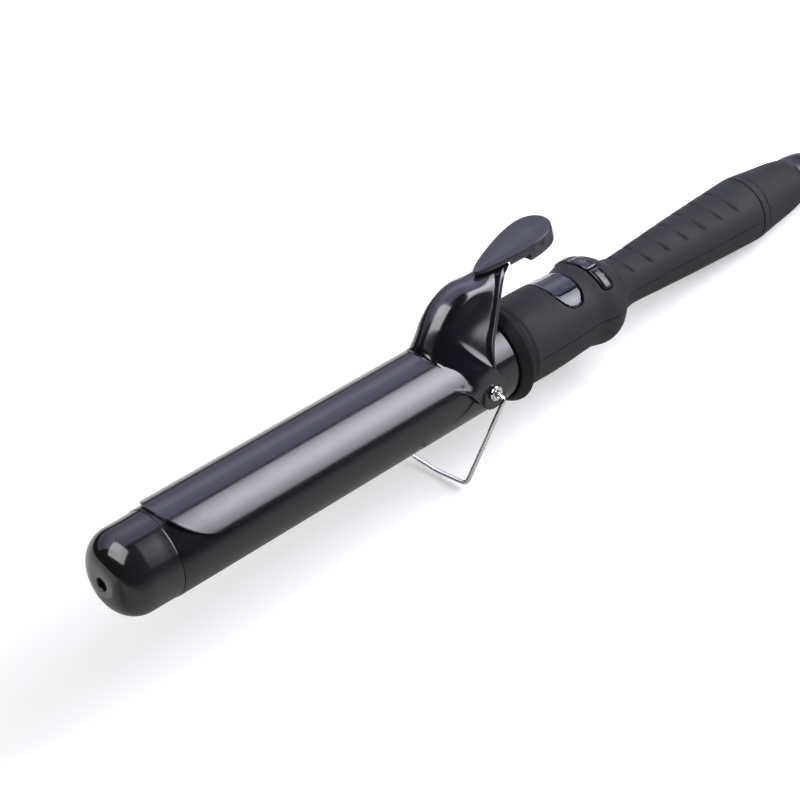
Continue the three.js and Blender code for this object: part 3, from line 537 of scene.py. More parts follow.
def lever_section(share, top, foot):
    """Half of one arch as (y, z): a crown along the ridge, a wall leaning out, and upright beside the ear."""
    knee_z = lerp(KNEE_LOW, KNEE_HIGH, smooth_step(share, 0.25, 0.5))
    knee_z = min(max(foot[2], knee_z), top[1] - 0.5)
    knee_y = foot[1] if knee_z == foot[2] else lerp(BARREL_R, foot[1], smooth_step(share, 0.3, 0.65))
    crown = min(table_at(CROWN_HALF, share), CROWN_LIMIT * foot[1])
    slope = crown / (2 * (knee_y - crown))
    tangent = (top[1] - knee_z) * slope / (1 + slope)
    sag = lerp(tangent, CROWN_SAG * crown, smooth_step(share, 0.06, 0.2))
    flare = WALL_FLARE * smooth_step(share, 0.6, 0.8)
    section = [(crown * k / 20, top[1] - sag * (k / 20) ** 2) for k in range(21)]
    for k in range(1, 13):
        t = k / 12
        section.append((lerp(crown, knee_y, (1 - flare) * t + flare * t * t), lerp(top[1] - sag, knee_z, t)))
    if foot[2] < knee_z - 0.01:
        shoulder_z = min(SHOULDER_Z, knee_z - 1)
        if foot[2] < shoulder_z - 0.01:
            section.append((foot[1], shoulder_z))
        section.append((foot[1], foot[2]))
    return section


def lever_row(where):
    """One arch of the lever, where running from 0 at the crease to 1 at the tongue's end."""
    n = len(edge_line) - 1
    share = (1 + where * (n - 1)) / n
    foot = catmull(edge_line, share)
    top = ridge_at(lerp(share ** 4, share, 0.12))
    half = []
    for y, z in respaced(lever_section(share, top, foot), edge_spaced):
        drop = (top[1] - z) / max(0.1, top[1] - foot[2])
        half.append((PIVOT_X + lerp(top[0], foot[0], min(1, drop)), y, z))
    return [(x, -y, z) for x, y, z in reversed(half[1:])] + half


def relax(rows, first, last, rounds):
    """Even out a grid of points between two rows, keeping its outer columns, and hold it off the barrel."""
    rows = [[Vector(p) for p in row] for row in rows]
    for _ in range(rounds):
        new = [list(row) for row in rows]
        for i in range(first, last):
            for j in range(1, len(rows[i]) - 1):
                beside = rows[i - 1][j] + rows[i + 1][j] + rows[i][j - 1] + rows[i][j + 1]
                new[i][j] = rows[i][j] * 0.5 + beside * 0.125
        rows = new
    for row in rows:
        for p in row:
            clear = max(1, JAW_R / max(1, math.hypot(p.y, p.z)))
            p.y *= clear
            p.z *= clear
    return rows


def add_bead(rows, first):
    """Raise a rounded bead along the lever's two rear edges."""
    height, width = len(rows), len(rows[0])
    moved = [list(row) for row in rows]
    for i in range(first, height):
        part = (i - first) / (height - 1 - first)
        weight = smooth_step(part, 0.58, 0.7)
        for order in (range(width // 2), range(width - 1, width // 2, -1)):
            run = 0
            for k, j in enumerate(order):
                if k:
                    run += (rows[i][j] - rows[i][order[k - 1]]).length
                if run > BEAD:
                    break
                along = rows[min(i + 1, height - 1)][j] - rows[i - 1][j]
                across = rows[i][min(j + 1, width - 1)] - rows[i][max(j - 1, 0)]
                normal = along.cross(across).normalized()
                moved[i][j] = rows[i][j] + normal * weight * BEAD_RISE * math.sin(math.pi * run / BEAD)
    return moved


def jaw_row(where):
    """One line across the jaw, where running from 0 at the rounded front to 1 at the crease."""
    half = []
    for run in edge_spaced(JAW_R * JAW_HALF):
        angle = run / JAW_R
        u = angle / JAW_HALF
        front = 22.5 + 20 * (1 - math.sqrt(1 - min(1, u * u)))
        crease = 142 + 3 * u ** 1.5
        half.append((lerp(front, crease, where ** 1.4), JAW_R * math.sin(angle), JAW_R * math.cos(angle)))
    return [(x, -y, z) for x, y, z in reversed(half[1:])] + half


def sheet_mesh(rows, thickness):
    """A closed sheet whose outer face runs through rows of points."""
    height, width = len(rows), len(rows[0])
    outer = [Vector(p) for row in rows for p in row]
    inner = []
    for i in range(height):
        for j in range(width):
            along = outer[min(i + 1, height - 1) * width + j] - outer[max(i - 1, 0) * width + j]
            across = outer[i * width + min(j + 1, width - 1)] - outer[i * width + max(j - 1, 0)]
            normal = along.cross(across)
            normal.normalize()
            inner.append(outer[i * width + j] - normal * thickness)
    base = height * width
    verts = [tuple(v) for v in outer + inner]
    faces = grid_faces(height, width)
    faces += [tuple(reversed(f)) for f in grid_faces(height, width, base)]
    rim = [(i * width + j, width, j > 0) for i in range(height - 1) for j in (0, width - 1)]
    rim += [(i * width + j, 1, i == 0) for j in range(width - 1) for i in (0, height - 1)]
    for a, step, flip in rim:
        side = (a, base + a, base + a + step, a + step)
        faces.append(side[::-1] if flip else side)
    return verts, faces


jaw = [jaw_row(i / 34) for i in range(35)]
lever = [lever_row(i / 110) for i in range(111)]
clip_rows = relax(jaw + lever, 37, 35 + 110, 7)
clip_rows = add_bead(clip_rows, 35)
put(
    "clip_sheet", *sheet_mesh(clip_rows, SHEET),
    CLIP_BLACK, "clamp", ["clip"], "clip_black", sharp=50, bevel=(0.3, 3, 60),
)

# ---------------- thumb pad

PAD_CENTRE = (190.2, 41.4)
PAD_PITCH = math.radians(10.1)
PAD_LONG = 18.5
PAD_WIDE = 7.75


def on_pad(verts, faces):
    """Carry a mesh from the pad's own axes to the tool's."""
    c, s = math.cos(PAD_PITCH), math.sin(PAD_PITCH)
    verts = [(PAD_CENTRE[0] + x * c - z * s, y, PAD_CENTRE[1] + x * s + z * c) for x, y, z in verts]
    return verts, faces


def pad_outline(inset=0.0, count=96):
    out = []
    for i in range(count):
        turn = 2 * math.pi * i / count
        swell = 1 + 0.47 * math.cos(turn) + 0.067 * math.cos(2 * turn)
        out.append(((PAD_LONG - inset) * math.cos(turn), (PAD_WIDE - inset) * math.sin(turn) * swell))
    return out


def pad_plate():
    """The pad's plate: square rim, a narrow flat lip and a shallow dish for the thumb."""
    rings = [(0.0, -3.3), (0.0, -0.6), (0.07, -0.32), (0.22, -0.12), (0.5, 0.0), (0.85, 0.0)]
    for k in range(1, 9):
        t = k / 8
        rings.append((0.85 + 6.1 * t, -0.9 * math.sin(t * math.pi / 2)))
    return stacked([[(x, y, z) for x, y in pad_outline(inset)] for inset, z in rings])


pad = put("thumb_rest", *on_pad(*pad_plate()), SATIN_BLACK, "clamp", ["thumb_pad"], "satin_black_plastic")
skirt = raw(*on_pad(*prism(pad_outline(), -6.1, -2.4)))
cut(skirt, [raw(*on_pad(*box_mesh((1.8, -30, -20), (40, 30, 5))))], "INTERSECT")
cut(pad, [skirt], "UNION")
pocket = raw(*on_pad(*prism(pad_outline(1.8), -20, -2.3)))
cut(pocket, [raw(*on_pad(*box_mesh((3.6, -30, -30), (40, 30, 5))))], "INTERSECT")
channel = raw(*on_pad(*box_mesh((-30, -5.7, -20), (-3.5, 5.7, -1.7))))
cut(pad, [pocket, channel])
add_bevel(pad, 0.2, 2, 50)
shade(pad, 35)

for name, x in (("front", -14), ("rear", -8.5)):
    head = lathe(rounded([
        (-5.2, 0), (-5.2, 1.5, 0.3), (-4.6, 2.3, 0.4), (-3.9, 2.3, 0.1), (-3.9, 1.2), (-1.1, 1.2, 0.2),
        (-1.1, 0),
    ]), 32, (x, 0, 0), "z")
    put(
        f"pad_rivet_{name}_head", *on_pad(*head),
        NICKEL, "clamp", [f"pad_rivet_{name}"], "bright_nickel",
    )

# ---------------- pivot rivets, collar, spring

for name, side in (("left", -1), ("right", 1)):
    profile = [(side * a, r, *more) for a, r, *more in [
        (11, 1.3), (11, 1.85, 0.2), (18.2, 1.85), (18.2, 2.85, 0.15), (19.25, 2.85, 0.4), (19.6, 2.3, 0.3),
        (19.6, 1.5, 0.25), (19.2, 1.28), (13.6, 1.28),
    ]]
    put(
        f"rivet_{name}", *lathe(rounded(profile), 48, (PIVOT_X, 0, 0), "y"),
        NICKEL, "housing", [f"pivot_rivet_{name}"], "bright_nickel",
    )

put(
    "collar",
    *lathe(rounded([
        (176.2, 16.3), (176.2, 16.9, 0.3), (177, 17.5, 0.5), (179.5, 18.9, 0.5), (180.3, 19.15, 0.5),
        (181.1, 18.6, 0.8), (182, 17, 0.8), (183.4, 16.6, 0.6), (185.2, 16.5, 0.2), (185.2, 16.3),
    ], 6), 128),
    COLLAR_SHADED_BLACK, "housing", ["collar_ring"], "soft_touch_black",
)

spring_line = [(9, 16.8), (-6, 16.8), (-9.6, 17.9), (-10.4, 20.3), (-8.2, 22.7), (8, 31.9), (10.5, 32.1)]
middle = even(spring_line, 61)
spring_outline = []
for sign in (1, -1):
    part = []
    for i, (x, z) in enumerate(middle):
        a, b = middle[max(i - 1, 0)], middle[min(i + 1, 60)]
        along = Vector((b[0] - a[0], b[1] - a[1])).normalized()
        part.append((PIVOT_X + x - along.y * 0.35 * sign, z + along.x * 0.35 * sign))
    spring_outline += part if sign > 0 else part[::-1]
spring = put(
    "leaf_spring", *prism(spring_outline, -3.5, 3.5, "xz"),
    SPRING_STEEL, "housing", ["clip_spring"], "bright_nickel", sharp=35, bevel=(0.12, 2, 60),
)
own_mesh(spring)

# ---------------- wire stand

WIRE_R = 0.85
FOOT = (-13.5, 14.4, -34)
BOW = 1.2
corners = [(0, -14.6, 0), (0, -23.2, 0), (FOOT[0], -FOOT[1], FOOT[2]), (FOOT[0], 0, FOOT[2] - BOW)]
corners += [(x, -y, z) for x, y, z in reversed(corners[:3])]
corners = [Vector((PIVOT_X + x, y, z)) for x, y, z in corners]
path = [corners[0]]
for i in range(1, len(corners) - 1):
    back = (corners[i - 1] - corners[i]).normalized() * 2.6
    on = (corners[i + 1] - corners[i]).normalized() * 2.6
    start, end = corners[i] + back, corners[i] + on
    gap = start - path[-1]
    for k in range(1, 7):
        path.append(path[-1] + gap / 6)
    for k in range(1, 11):
        t = k / 10
        path.append(start * (1 - t) ** 2 + corners[i] * 2 * t * (1 - t) + end * t * t)
gap = corners[-1] - path[-1]
path += [path[-1] + gap * k / 6 for k in range(1, 7)]


def tube(points, radius, around=20):
    """A round wire with rounded ends along a path of points."""
    rings = []
    side = Vector((1, 0, 0))
    count = len(points)
    for i, p in enumerate(points):
        along = (points[min(i + 1, count - 1)] - points[max(i - 1, 0)]).normalized()
        side = (side - along * side.dot(along)).normalized()
        other = along.cross(side)
        steps = [(0, 1)]
        if i == 0:
            steps = [(-1, 0.02), (-0.92, 0.38), (-0.7, 0.71), (-0.38, 0.92), (0, 1)]
        if i == count - 1:
            steps = [(0, 1), (0.38, 0.92), (0.7, 0.71), (0.92, 0.38), (1, 0.02)]
        for shift, scale in steps:
            middle_point = p + along * shift * radius * 0.5
            rings.append([
                middle_point + (side * math.cos(a) + other * math.sin(a)) * radius * scale
                for a in [2 * math.pi * k / around for k in range(around)]
            ])
    return stacked(rings)


put("stand_wire", *tube(path, WIRE_R), WIRE_NICKEL, "stand", ["wire_stand"], "bright_nickel", sharp=60)

# ---------------- handle shells

SHELL_FRONT = 185.5
SHELL_REAR = 317.7
SHELL_WALL = 2.6
HANDLE_LINE = [
    (SHELL_FRONT, 16.4), (196, 16.6), (205.5, 16.4), (215, 15.95), (220, 15.85), (223.8, 16.7), (227.5, 17.4),
    (231.2, 16.8), (234.6, 15), (238.7, 11.8), (243.7, 10.4), (248.6, 10), (263.5, 10.9), (284, 12.1),
    (304.6, 13.05), (SHELL_REAR, 13.6),
]
line_dense = [catmull(HANDLE_LINE, i / 1200) for i in range(1201)]


def handle_r(x):
    """The handle's outer radius at x."""
    return table_at(line_dense, x)


GROOVES = [245.0, 254.6, 264.4, 274.6, 284.3, 293.9, 303.1]
GROOVE_HALF = math.radians(52)
GROOVE_BOW = 2.6
GROOVE_WIDE = 0.52
GROOVE_REACH = 2.4
GROOVE_DEEP = 0.62
GROOVE_STEP = 0.1


def groove_depth(x, angle):
    """How deep the nearest finger groove is at x and angle from the top."""
    if abs(angle) > GROOVE_HALF + 0.15:
        return 0
    fade = 1 - smooth_step(abs(angle), GROOVE_HALF - 0.16, GROOVE_HALF + 0.06)
    for middle_x in GROOVES:
        line_x = middle_x + GROOVE_BOW * (angle / GROOVE_HALF) ** 2
        away = (x - line_x) / GROOVE_WIDE
        if abs(away) < GROOVE_REACH:
            step = smooth_step(away, -GROOVE_REACH, 0) * (1 - smooth_step(away, 0, GROOVE_REACH))
            return fade * (GROOVE_DEEP * math.exp(-away * away) + GROOVE_STEP * step)
    return 0


def shell_stations(side):
    """Where the shell's rings stand along the tool, closer together over the grooves."""
    xs = [SHELL_FRONT, 185.62, 185.85, 186.2]
    x = 187.0
    while x < 316.4:
        xs.append(x)
        grooved = 243 <= x < 308 and side > 0
        x += 0.3 if grooved else 1.0
    return xs + [317.0, 317.35, 317.58, SHELL_REAR]


def shell(side):
    """Half of the handle's skin, with softened ends and a softened edge along the split."""
    stations = shell_stations(side)
    half = 72
    start = math.asin(0.15 / 16)
    angles = [start + (math.pi - 2 * start) * i / half for i in range(half + 1)]
    outer, inner = [], []
    for x in stations:
        radius = handle_r(x)
        ends = min(x - SHELL_FRONT, SHELL_REAR - x)
        radius -= 0.3 * (1 - min(1, ends / 0.7)) ** 2
        for a in angles:
            turn = math.pi / 2 - a
            r = radius - groove_depth(x, turn) * (1 if side > 0 else 0)
            near = min(a - start, math.pi - start - a) * radius
            r -= 0.16 * (1 - min(1, near / 0.5)) ** 2
            outer.append((x, r * math.cos(a), side * r * math.sin(a)))
        deep = 13 if x < SHELL_FRONT + 2 else handle_r(x) - SHELL_WALL
        for a in angles:
            inner.append((x, deep * math.cos(a), side * deep * math.sin(a)))
    rows, width = len(stations), half + 1
    verts = outer + inner
    base = len(outer)
    faces = grid_faces(rows, width) + [tuple(reversed(f)) for f in grid_faces(rows, width, base)]
    for i in range(rows - 1):
        for j in (0, half):
            a, b = i * width + j, (i + 1) * width + j
            faces.append((a, b, base + b, base + a))
    for j in range(half):
        for i in (0, rows - 1):
            a, b = i * width + j, i * width + j + 1
            faces.append((a, b, base + b, base + a))
    return verts, faces


def spigot(side):
    """Half tube in front of the head that plugs into the barrel."""
    verts, faces = lathe(rounded([(176, 12.0), (176, 14.6, 0.4), (187.6, 14.6), (187.6, 12.0)]), 72)
    tool = raw(verts, faces)
    low, high = (0.15, 30) if side > 0 else (-30, -0.15)
    cut(tool, [raw(*box_mesh((170, -30, low), (195, 30, high)))], "INTERSECT")
    return tool


WINDOW_X = 211
WINDOW = (13, 24.4)


def window_outline(grow, count=96):
    out = []
    for i in range(count):
        turn = 2 * math.pi * i / count
        c, s = math.cos(turn), math.sin(turn)
        out.append((
            WINDOW_X + math.copysign(abs(c) ** (2 / 3), c) * (WINDOW[0] / 2 + grow),
            math.copysign(abs(s) ** (2 / 3), s) * (WINDOW[1] / 2 + grow),
        ))
    return out


BUTTON_X = 227.2
BUTTON_R = 17.9
SLOT_HALF = math.radians(52.3)


def key_outline(start, end, length, round_start, round_end, grow, count, side_count):
    """Outline of a key in (x, angle): straight sides with rounded ends, angles in radians."""
    half = length / 2 + grow
    ends = []
    for which, rounding, sign in ((end, round_end, 1), (start, round_start, -1)):
        size = max(0.02, rounding + grow) / BUTTON_R
        centre = which + sign * (grow / BUTTON_R - size)
        arc = []
        for k in range(2 * count + 1):
            turn = math.pi / 2 - math.pi * k / (2 * count)
            x = half * math.copysign(abs(math.sin(turn)) ** 0.83, math.sin(turn))
            arc.append((sign * x, centre + sign * size * max(0, math.cos(turn)) ** 0.83))
        ends.append(arc)
    out = []
    for arc, following in ((ends[0], ends[1]), (ends[1], ends[0])):
        out += arc
        (x0, a0), (x1, a1) = arc[-1], following[0]
        out += [(lerp(x0, x1, k / side_count), lerp(a0, a1, k / side_count)) for k in range(1, side_count)]
    return out


def on_round(x, angle, radius):
    return (BUTTON_X + x, radius * math.sin(angle), radius * math.cos(angle))


def over_window(grow, lift, share=1.0):
    """The window's outline lying lift above the handle's skin."""
    ring = []
    for x, y in window_outline(grow):
        xx, yy = lerp(WINDOW_X, x, share), y * share
        r = handle_r(xx) + lift
        ring.append((xx, yy, math.sqrt(r * r - yy * yy)))
    return ring


def window_tool():
    """Cutter for the window that leaves a rounded lip."""
    lip = ((0.3, -0.5), (0.34, -0.24), (0.46, -0.07), (0.75, 0.08))
    rows = [[(x, y, 4.0) for x, y in window_outline(0.3)]]
    rows += [over_window(grow, lift) for grow, lift in lip]
    rows.append([(x, y, 30.0) for x, y in window_outline(0.9)])
    return stacked(rows)


def slot_tool():
    """Cutter for the keys' slot that leaves a rounded lip."""
    lip = ((0, 12, 0), (0, -0.45, 1), (0.05, -0.2, 1), (0.18, -0.05, 1), (0.45, 0.1, 1), (0.5, 24, 0))
    rows = []
    for grow, radius, follow in lip:
        outline = key_outline(-SLOT_HALF, SLOT_HALF, 6.0, 2.9, 2.9, grow, 12, 40)
        rows.append([on_round(x, a, radius + (handle_r(BUTTON_X + x) if follow else 0)) for x, a in outline])
    return stacked(rows, False)


def filled(verts, faces, loops):
    """A throwaway cutter whose end loops are filled with triangles."""
    mesh = bpy.data.meshes.new("cutter")
    bm = bmesh.new()
    points = [bm.verts.new(at(*v)) for v in verts]
    for f in faces:
        bm.faces.new([points[i] for i in f])
    for first, count in loops:
        ring = [bm.edges.get((points[first + i], points[first + (i + 1) % count])) for i in range(count)]
        bmesh.ops.triangle_fill(bm, edges=ring, use_beauty=True)
    bmesh.ops.recalc_face_normals(bm, faces=bm.faces)
    bm.to_mesh(mesh)
    bm.free()
    return placed("cutter", mesh)


upper = put("shell_top", *shell(1), SOFT_BLACK, "housing", ["handle_shell_upper"], "soft_touch_black")
slot_v, slot_f = slot_tool()
loop = len(slot_v) // 6
slot_cutter = filled(slot_v, slot_f, [(0, loop), (5 * loop, loop)])
cut(upper, [raw(*window_tool()), slot_cutter])
cut(upper, [spigot(1)], "UNION")
shade(upper, 32)

SCREWS = (("front", 192), ("middle", 262), ("rear", 306))
lower = put("shell_bottom", *shell(-1), SOFT_BLACK, "housing", ["handle_shell_lower"], "soft_touch_black")
posts = []
pockets = []
for name, x in SCREWS:
    skin = handle_r(x)
    posts.append(lathe([(-0.5, 0), (-0.5, 3.9), (1 - skin, 3.9), (1 - skin, 0)], 32, (x, 0, 0), "z"))
    pockets.append(lathe([
        (1, 0), (1, 1.45), (-5, 1.45), (-5, 2.7), (0.35 - skin, 2.7), (0.1 - skin, 2.8),
        (-0.05 - skin, 3), (-0.6 - skin, 3.8), (-25, 3.8), (-25, 0),
    ], 32, (x, 0, 0), "z"))
cut(lower, [raw(*merge(*posts)), spigot(-1)], "UNION")
cut(lower, [raw(*merge(*pockets))])
shade(lower, 32)


def cross_recess(x, face, size, deep, sign=-1):
    """A cross-shaped cutter sunk into a screw head whose face looks along sign z."""
    bars = []
    for across in (0, 1):
        half = (size, size * 0.2)
        hx, hy = (half if across else half[::-1])
        low, high = sorted((face - sign * deep, face + sign * 0.5))
        bars.append(raw(*box_mesh((x - hx, -hy, low), (x + hx, hy, high))))
    return bars


for name, x in SCREWS:
    screw = put(f"screw_{name}", *lathe(rounded([
        (5, 0), (5, 0.9, 0.2), (4.5, 1.15, 0.1), (-5.3, 1.15), (-5.3, 2.4, 0.15), (-6.7, 2.4, 0.5),
        (-7.3, 1.5, 0.4), (-7.3, 0),
    ]), 32, (x, 0, 0), "z"), NICKEL, "housing", [f"shell_screw_{name}"], "bright_nickel")
    cut(screw, cross_recess(x, -7.3, 1.3, 0.9))
    shade(screw, 35)

# ---------------- window, display and keys


def lens_mesh():
    """The window's lens: crowned like the handle, with a softened rim."""
    rows = [over_window(0, -1.5, k / 12) for k in range(1, 13)]
    rows += [over_window(0, -0.3), over_window(0, -0.1), over_window(-0.08, 0.03), over_window(-0.25, 0.1)]
    rows += [over_window(-0.25, 0.1, 1 - k / 12) for k in range(1, 12)]
    return stacked(rows)


put("window_lens", *lens_mesh(), LENS, "housing", ["display_lens"], "gloss_black_plastic", sharp=50)

LCD_TOP = 10.4
lcd_v, lcd_f = box_mesh((WINDOW_X - 5, -9.25, 8.4), (WINDOW_X + 5, 9.25, LCD_TOP - 0.12))
put(
    "display_module", lcd_v, lcd_f,
    LCD_FRAME, "housing", ["lcd_module"], "lcd_glass", bevel=(0.25, 3, 40),
)
lit_v, lit_f = box_mesh((WINDOW_X - 2.9, -7.3, LCD_TOP - 0.5), (WINDOW_X + 2.9, 7.3, LCD_TOP - 0.06))
put("display_lit_area", lit_v, lit_f, LCD_LIT, "housing", (), "lcd_glass", bevel=(0.05, 2, 40))

# Seven-segment digits. Text reads with the tip at the top, so a letter's right is +y and its foot is +x.
SEGMENTS = {"1": "bc", "8": "abcdefg", "0": "abcdef", "C": "adef"}


def segment_bars(letters, width, height, thick, slant=0.12):
    """Bars of one digit as outlines in (right, down) from its top left corner."""
    w, h, t, g = width, height, thick, thick * 0.16
    m = h / 2
    flat = {
        "a": [(g, 0), (w - g, 0), (w - t, t), (t, t)],
        "d": [(t, h - t), (w - t, h - t), (w - g, h), (g, h)],
        "g": [
            (t * 0.7, m), (t, m - t / 2), (w - t, m - t / 2),
            (w - t * 0.7, m), (w - t, m + t / 2), (t, m + t / 2),
        ],
        "f": [(0, g), (t, t + g), (t, m - t / 2 - g), (t / 2, m - g), (0, m - t / 2)],
        "e": [(0, m + t / 2), (t / 2, m + g), (t, m + t / 2 + g), (t, h - t - g), (0, h - g)],
        "b": [(w, g), (w, m - t / 2), (w - t / 2, m - g), (w - t, m - t / 2 - g), (w - t, t + g)],
        "c": [(w, h - g), (w - t, h - t - g), (w - t, m + t / 2 + g), (w - t / 2, m + g), (w, m + t / 2)],
    }
    return [[(right + (h - down) * slant, down) for right, down in flat[k]] for k in letters]


digit_parts = []
cursor = -3.9
for letter in "180":
    for bar in segment_bars(SEGMENTS[letter], 2.1, 4.3, 0.42):
        outline = [(WINDOW_X - 2.15 + down, cursor + right) for right, down in bar]
        digit_parts.append(prism(outline, LCD_TOP - 0.07, LCD_TOP))
    cursor += 2.85
for bar in segment_bars(SEGMENTS["C"], 1.1, 2.3, 0.24):
    outline = [(WINDOW_X - 0.15 + down, cursor + 0.75 + right) for right, down in bar]
    digit_parts.append(prism(outline, LCD_TOP - 0.07, LCD_TOP))
turns = [2 * math.pi * k / 16 for k in range(16)]
degree = [(WINDOW_X - 0.2 + 0.22 * math.cos(turn), cursor + 0.5 + 0.22 * math.sin(turn)) for turn in turns]
digit_parts.append(prism(degree, LCD_TOP - 0.07, LCD_TOP))
put("display_digits", *merge(*digit_parts), LCD_DARK, "housing", (), "lcd_glass", sharp=30)

for name, y, mat in (("left", -10.6, LED_BLUE), ("right", 10.6, LCD_DARK)):
    dome = rounded([(10.9, 0), (10.9, 0.62, 0.1), (11.5, 0.62, 0.3), (11.7, 0)], 5)
    lamp = lathe(dome, 24, (WINDOW_X, y, 0), "z")
    put(f"indicator_{name}", *lamp, mat, "housing", (), "lcd_glass")

CROWN = [
    (0, 17.0), (0.1, 17.26), (0.28, 17.46), (0.55, 17.6), (0.9, 17.7), (1.4, 17.79), (2.0, 17.86),
    (2.62, 17.9),
]
KEY_LENGTH = 5.4
KEYS = {
    "temp_down": (-51.0, -17.75, 2.6, 0.4),
    "power": (-16.4, 16.4, 0.4, 0.4),
    "temp_up": (17.75, 51.0, 0.4, 2.6),
}


def crown_at(x, angle, start, end):
    inset = min(KEY_LENGTH / 2 - abs(x), (end - angle) * BUTTON_R, (angle - start) * BUTTON_R)
    return table_at(CROWN, max(0, min(2.62, inset)))


def key_mesh(start, end, round_start, round_end):
    """A crowned key with a softened edge, without its stem."""
    rows = []
    for inset, radius in [(0, 14.7)] + CROWN:
        outline = key_outline(
            start, end, KEY_LENGTH, round_start, round_end, -inset, 10, 16,
        )
        rows.append([on_round(x, a, radius) for x, a in outline])
    return stacked(rows)


ICON_DEEP = 0.15
ICON_PROUD = 0.035


def ribbon(points, width, key, closed=False):
    """A thin raised line on a key through (right, down) points in millimetres from its middle."""
    start, end = [math.radians(v) for v in KEYS[key][:2]]
    count = len(points)
    rings = []
    for i, (right, down) in enumerate(points):
        before = points[(i - 1) % count] if closed or i else points[i]
        after = points[(i + 1) % count] if closed or i < count - 1 else points[i]
        along = Vector((after[0] - before[0], after[1] - before[1])).normalized() * width / 2
        ring = []
        for sign, lift in ((1, -ICON_DEEP), (-1, -ICON_DEEP), (-1, ICON_PROUD), (1, ICON_PROUD)):
            x = down + along.x * sign
            angle = (start + end) / 2 + (right - along.y * sign) / BUTTON_R
            ring.append(on_round(x, angle, crown_at(x, angle, start, end) + lift))
        rings.append(ring)
    if closed:
        rings.append(rings[0])
    return stacked(rings, not closed)


def round_line(radius, start, end, count=40):
    turns = [lerp(start, end, k / count) for k in range(count + 1)]
    return [(radius * math.sin(turn), -radius * math.cos(turn)) for turn in turns]


def dense_line(points, step=0.25):
    out = []
    for a, b in zip(points, points[1:] + points[:1]):
        n = max(1, int(math.dist(a, b) / step))
        out += [(lerp(a[0], b[0], k / n), lerp(a[1], b[1], k / n)) for k in range(n)]
    return out


ICONS = {
    "temp_down": [(dense_line([(-1.25, 0), (0.95, -1.2), (0.95, 1.2)]), True)],
    "power": [
        (round_line(1.25, math.radians(32), math.radians(328)), False),
        ([(0, -1.6 + 0.15 * k) for k in range(11)], False),
    ],
    "temp_up": [(dense_line([(1.25, 0), (-0.95, 1.2), (-0.95, -1.2)]), True)],
}
ICON_GREY = moulded("icon_grey", (0.16, 0.16, 0.17), (0.2, 0.2, 0.21), (0.35, 0.5), 0.1)

for key, (from_deg, to_deg, round_from, round_to) in KEYS.items():
    start, end = math.radians(from_deg), math.radians(to_deg)
    cap = put(
        f"{key}_key", *key_mesh(start, end, round_from, round_to),
        GLOSS_BLACK, f"{key}_key", [f"{key}_button"], "gloss_black_plastic", sharp=50,
    )
    stem_v, stem_f = box_mesh((BUTTON_X - 1.2, -1.2, 11.8), (BUTTON_X + 1.2, 1.2, 15.4))
    cut(cap, [raw(about_x(stem_v, (start + end) / 2), stem_f)], "UNION")
    shade(cap, 50)
    icon = merge(*[ribbon(line, 0.2, key, closed) for line, closed in ICONS[key]])
    put(f"{key}_icon", *icon, ICON_GREY, f"{key}_key", (), "gloss_black_plastic", sharp=30)

# ---------------- tail

put(
    "end_ring",
    *lathe(rounded([(318, 9.8), (318, 13.62, 0.25), (321.3, 13.5, 0.25), (321.3, 9.8)]), 96),
    SOFT_BLACK, "housing", ["grip_end_ring"], "soft_touch_black",
)
put(
    "tail",
    *lathe(rounded([
        (314, 7.8), (314, 9.4, 0.3), (321.6, 9.4), (321.6, 13.4, 0.25), (326, 12.93, 2), (331.5, 12.25, 2),
        (337, 11.65, 2), (342.5, 11, 2), (346.7, 10.2, 0.6), (347.7, 9.6, 0.3), (347.7, 4.9), (336, 4.9),
        (336, 7.8),
    ], 6), 96),
    SOFT_BLACK, "housing", ["tail_cone"], "soft_touch_black",
)
put(
    "swivel_dome",
    *lathe(rounded([
        (328, 1.8), (328, 4.6, 0.3), (330.6, 4.6), (330.6, 3.7), (332.2, 3.7), (332.2, 4.6), (348.1, 4.6),
        (348.1, 9.2, 0.3), (349.2, 9.7, 0.8), (354, 9.6, 2), (358.5, 8.9, 2), (362, 7.7, 1.8),
        (364.6, 6.2, 1.2), (366, 5, 0.5), (366, 3.45, 0.3), (365.6, 3.3, 0.2), (358.5, 3.3), (358.5, 1.8),
    ], 5), 96),
    SATIN_BLACK, "cord_outlet", ["swivel_cap"], "satin_black_plastic",
)
recess = []
for half_x, half_y in ((1.15, 0.25), (0.25, 1.15)):
    recess.append(raw(*box_mesh((9, -half_y, -half_x), (10.6, half_y, half_x))))
tip_bolt = put("tip_bolt", *lathe(rounded([
    (9.7, 0), (9.7, 1.2, 0.3), (10.1, 1.95, 0.5), (11.7, 1.95, 0.1), (11.7, 1.15), (32.6, 1.15, 0.3), (33, 0),
]), 32), NICKEL, "housing", ["tip_screw"], "bright_nickel")
cut(tip_bolt, recess)
shade(tip_bolt, 35)

# ---------------- inner pieces kept from the CAD

KEPT = (
    (ALUMINIUM, ["tip_anchor", "heat_spreader_upper", "heat_spreader_lower", "pivot_saddle"]),
    (CERAMIC, ["heater_core", "temperature_sensor", "insulation_sleeve"]),
    (WHITE_PLASTIC, ["lcd_holder", "switch_carrier"]),
    (BOARD_GREEN, ["control_board"]),
    (BRASS, ["slip_contact_plate"]),
    (COPPER_LEAD, ["heater_wire_live", "heater_wire_neutral"]),
    (MAINS_RED, ["mains_wire_live", "mains_wire_neutral"]),
    (SWITCH_BLACK, ["temp_down_switch", "power_switch", "temp_up_switch"]),
    (NICKEL, ["swivel_clip"]),
)
for mat, nodes in KEPT:
    for node in nodes:
        NODES[node].data.materials.clear()
        NODES[node].data.materials.append(mat)

# ---------------- floor, lights and camera

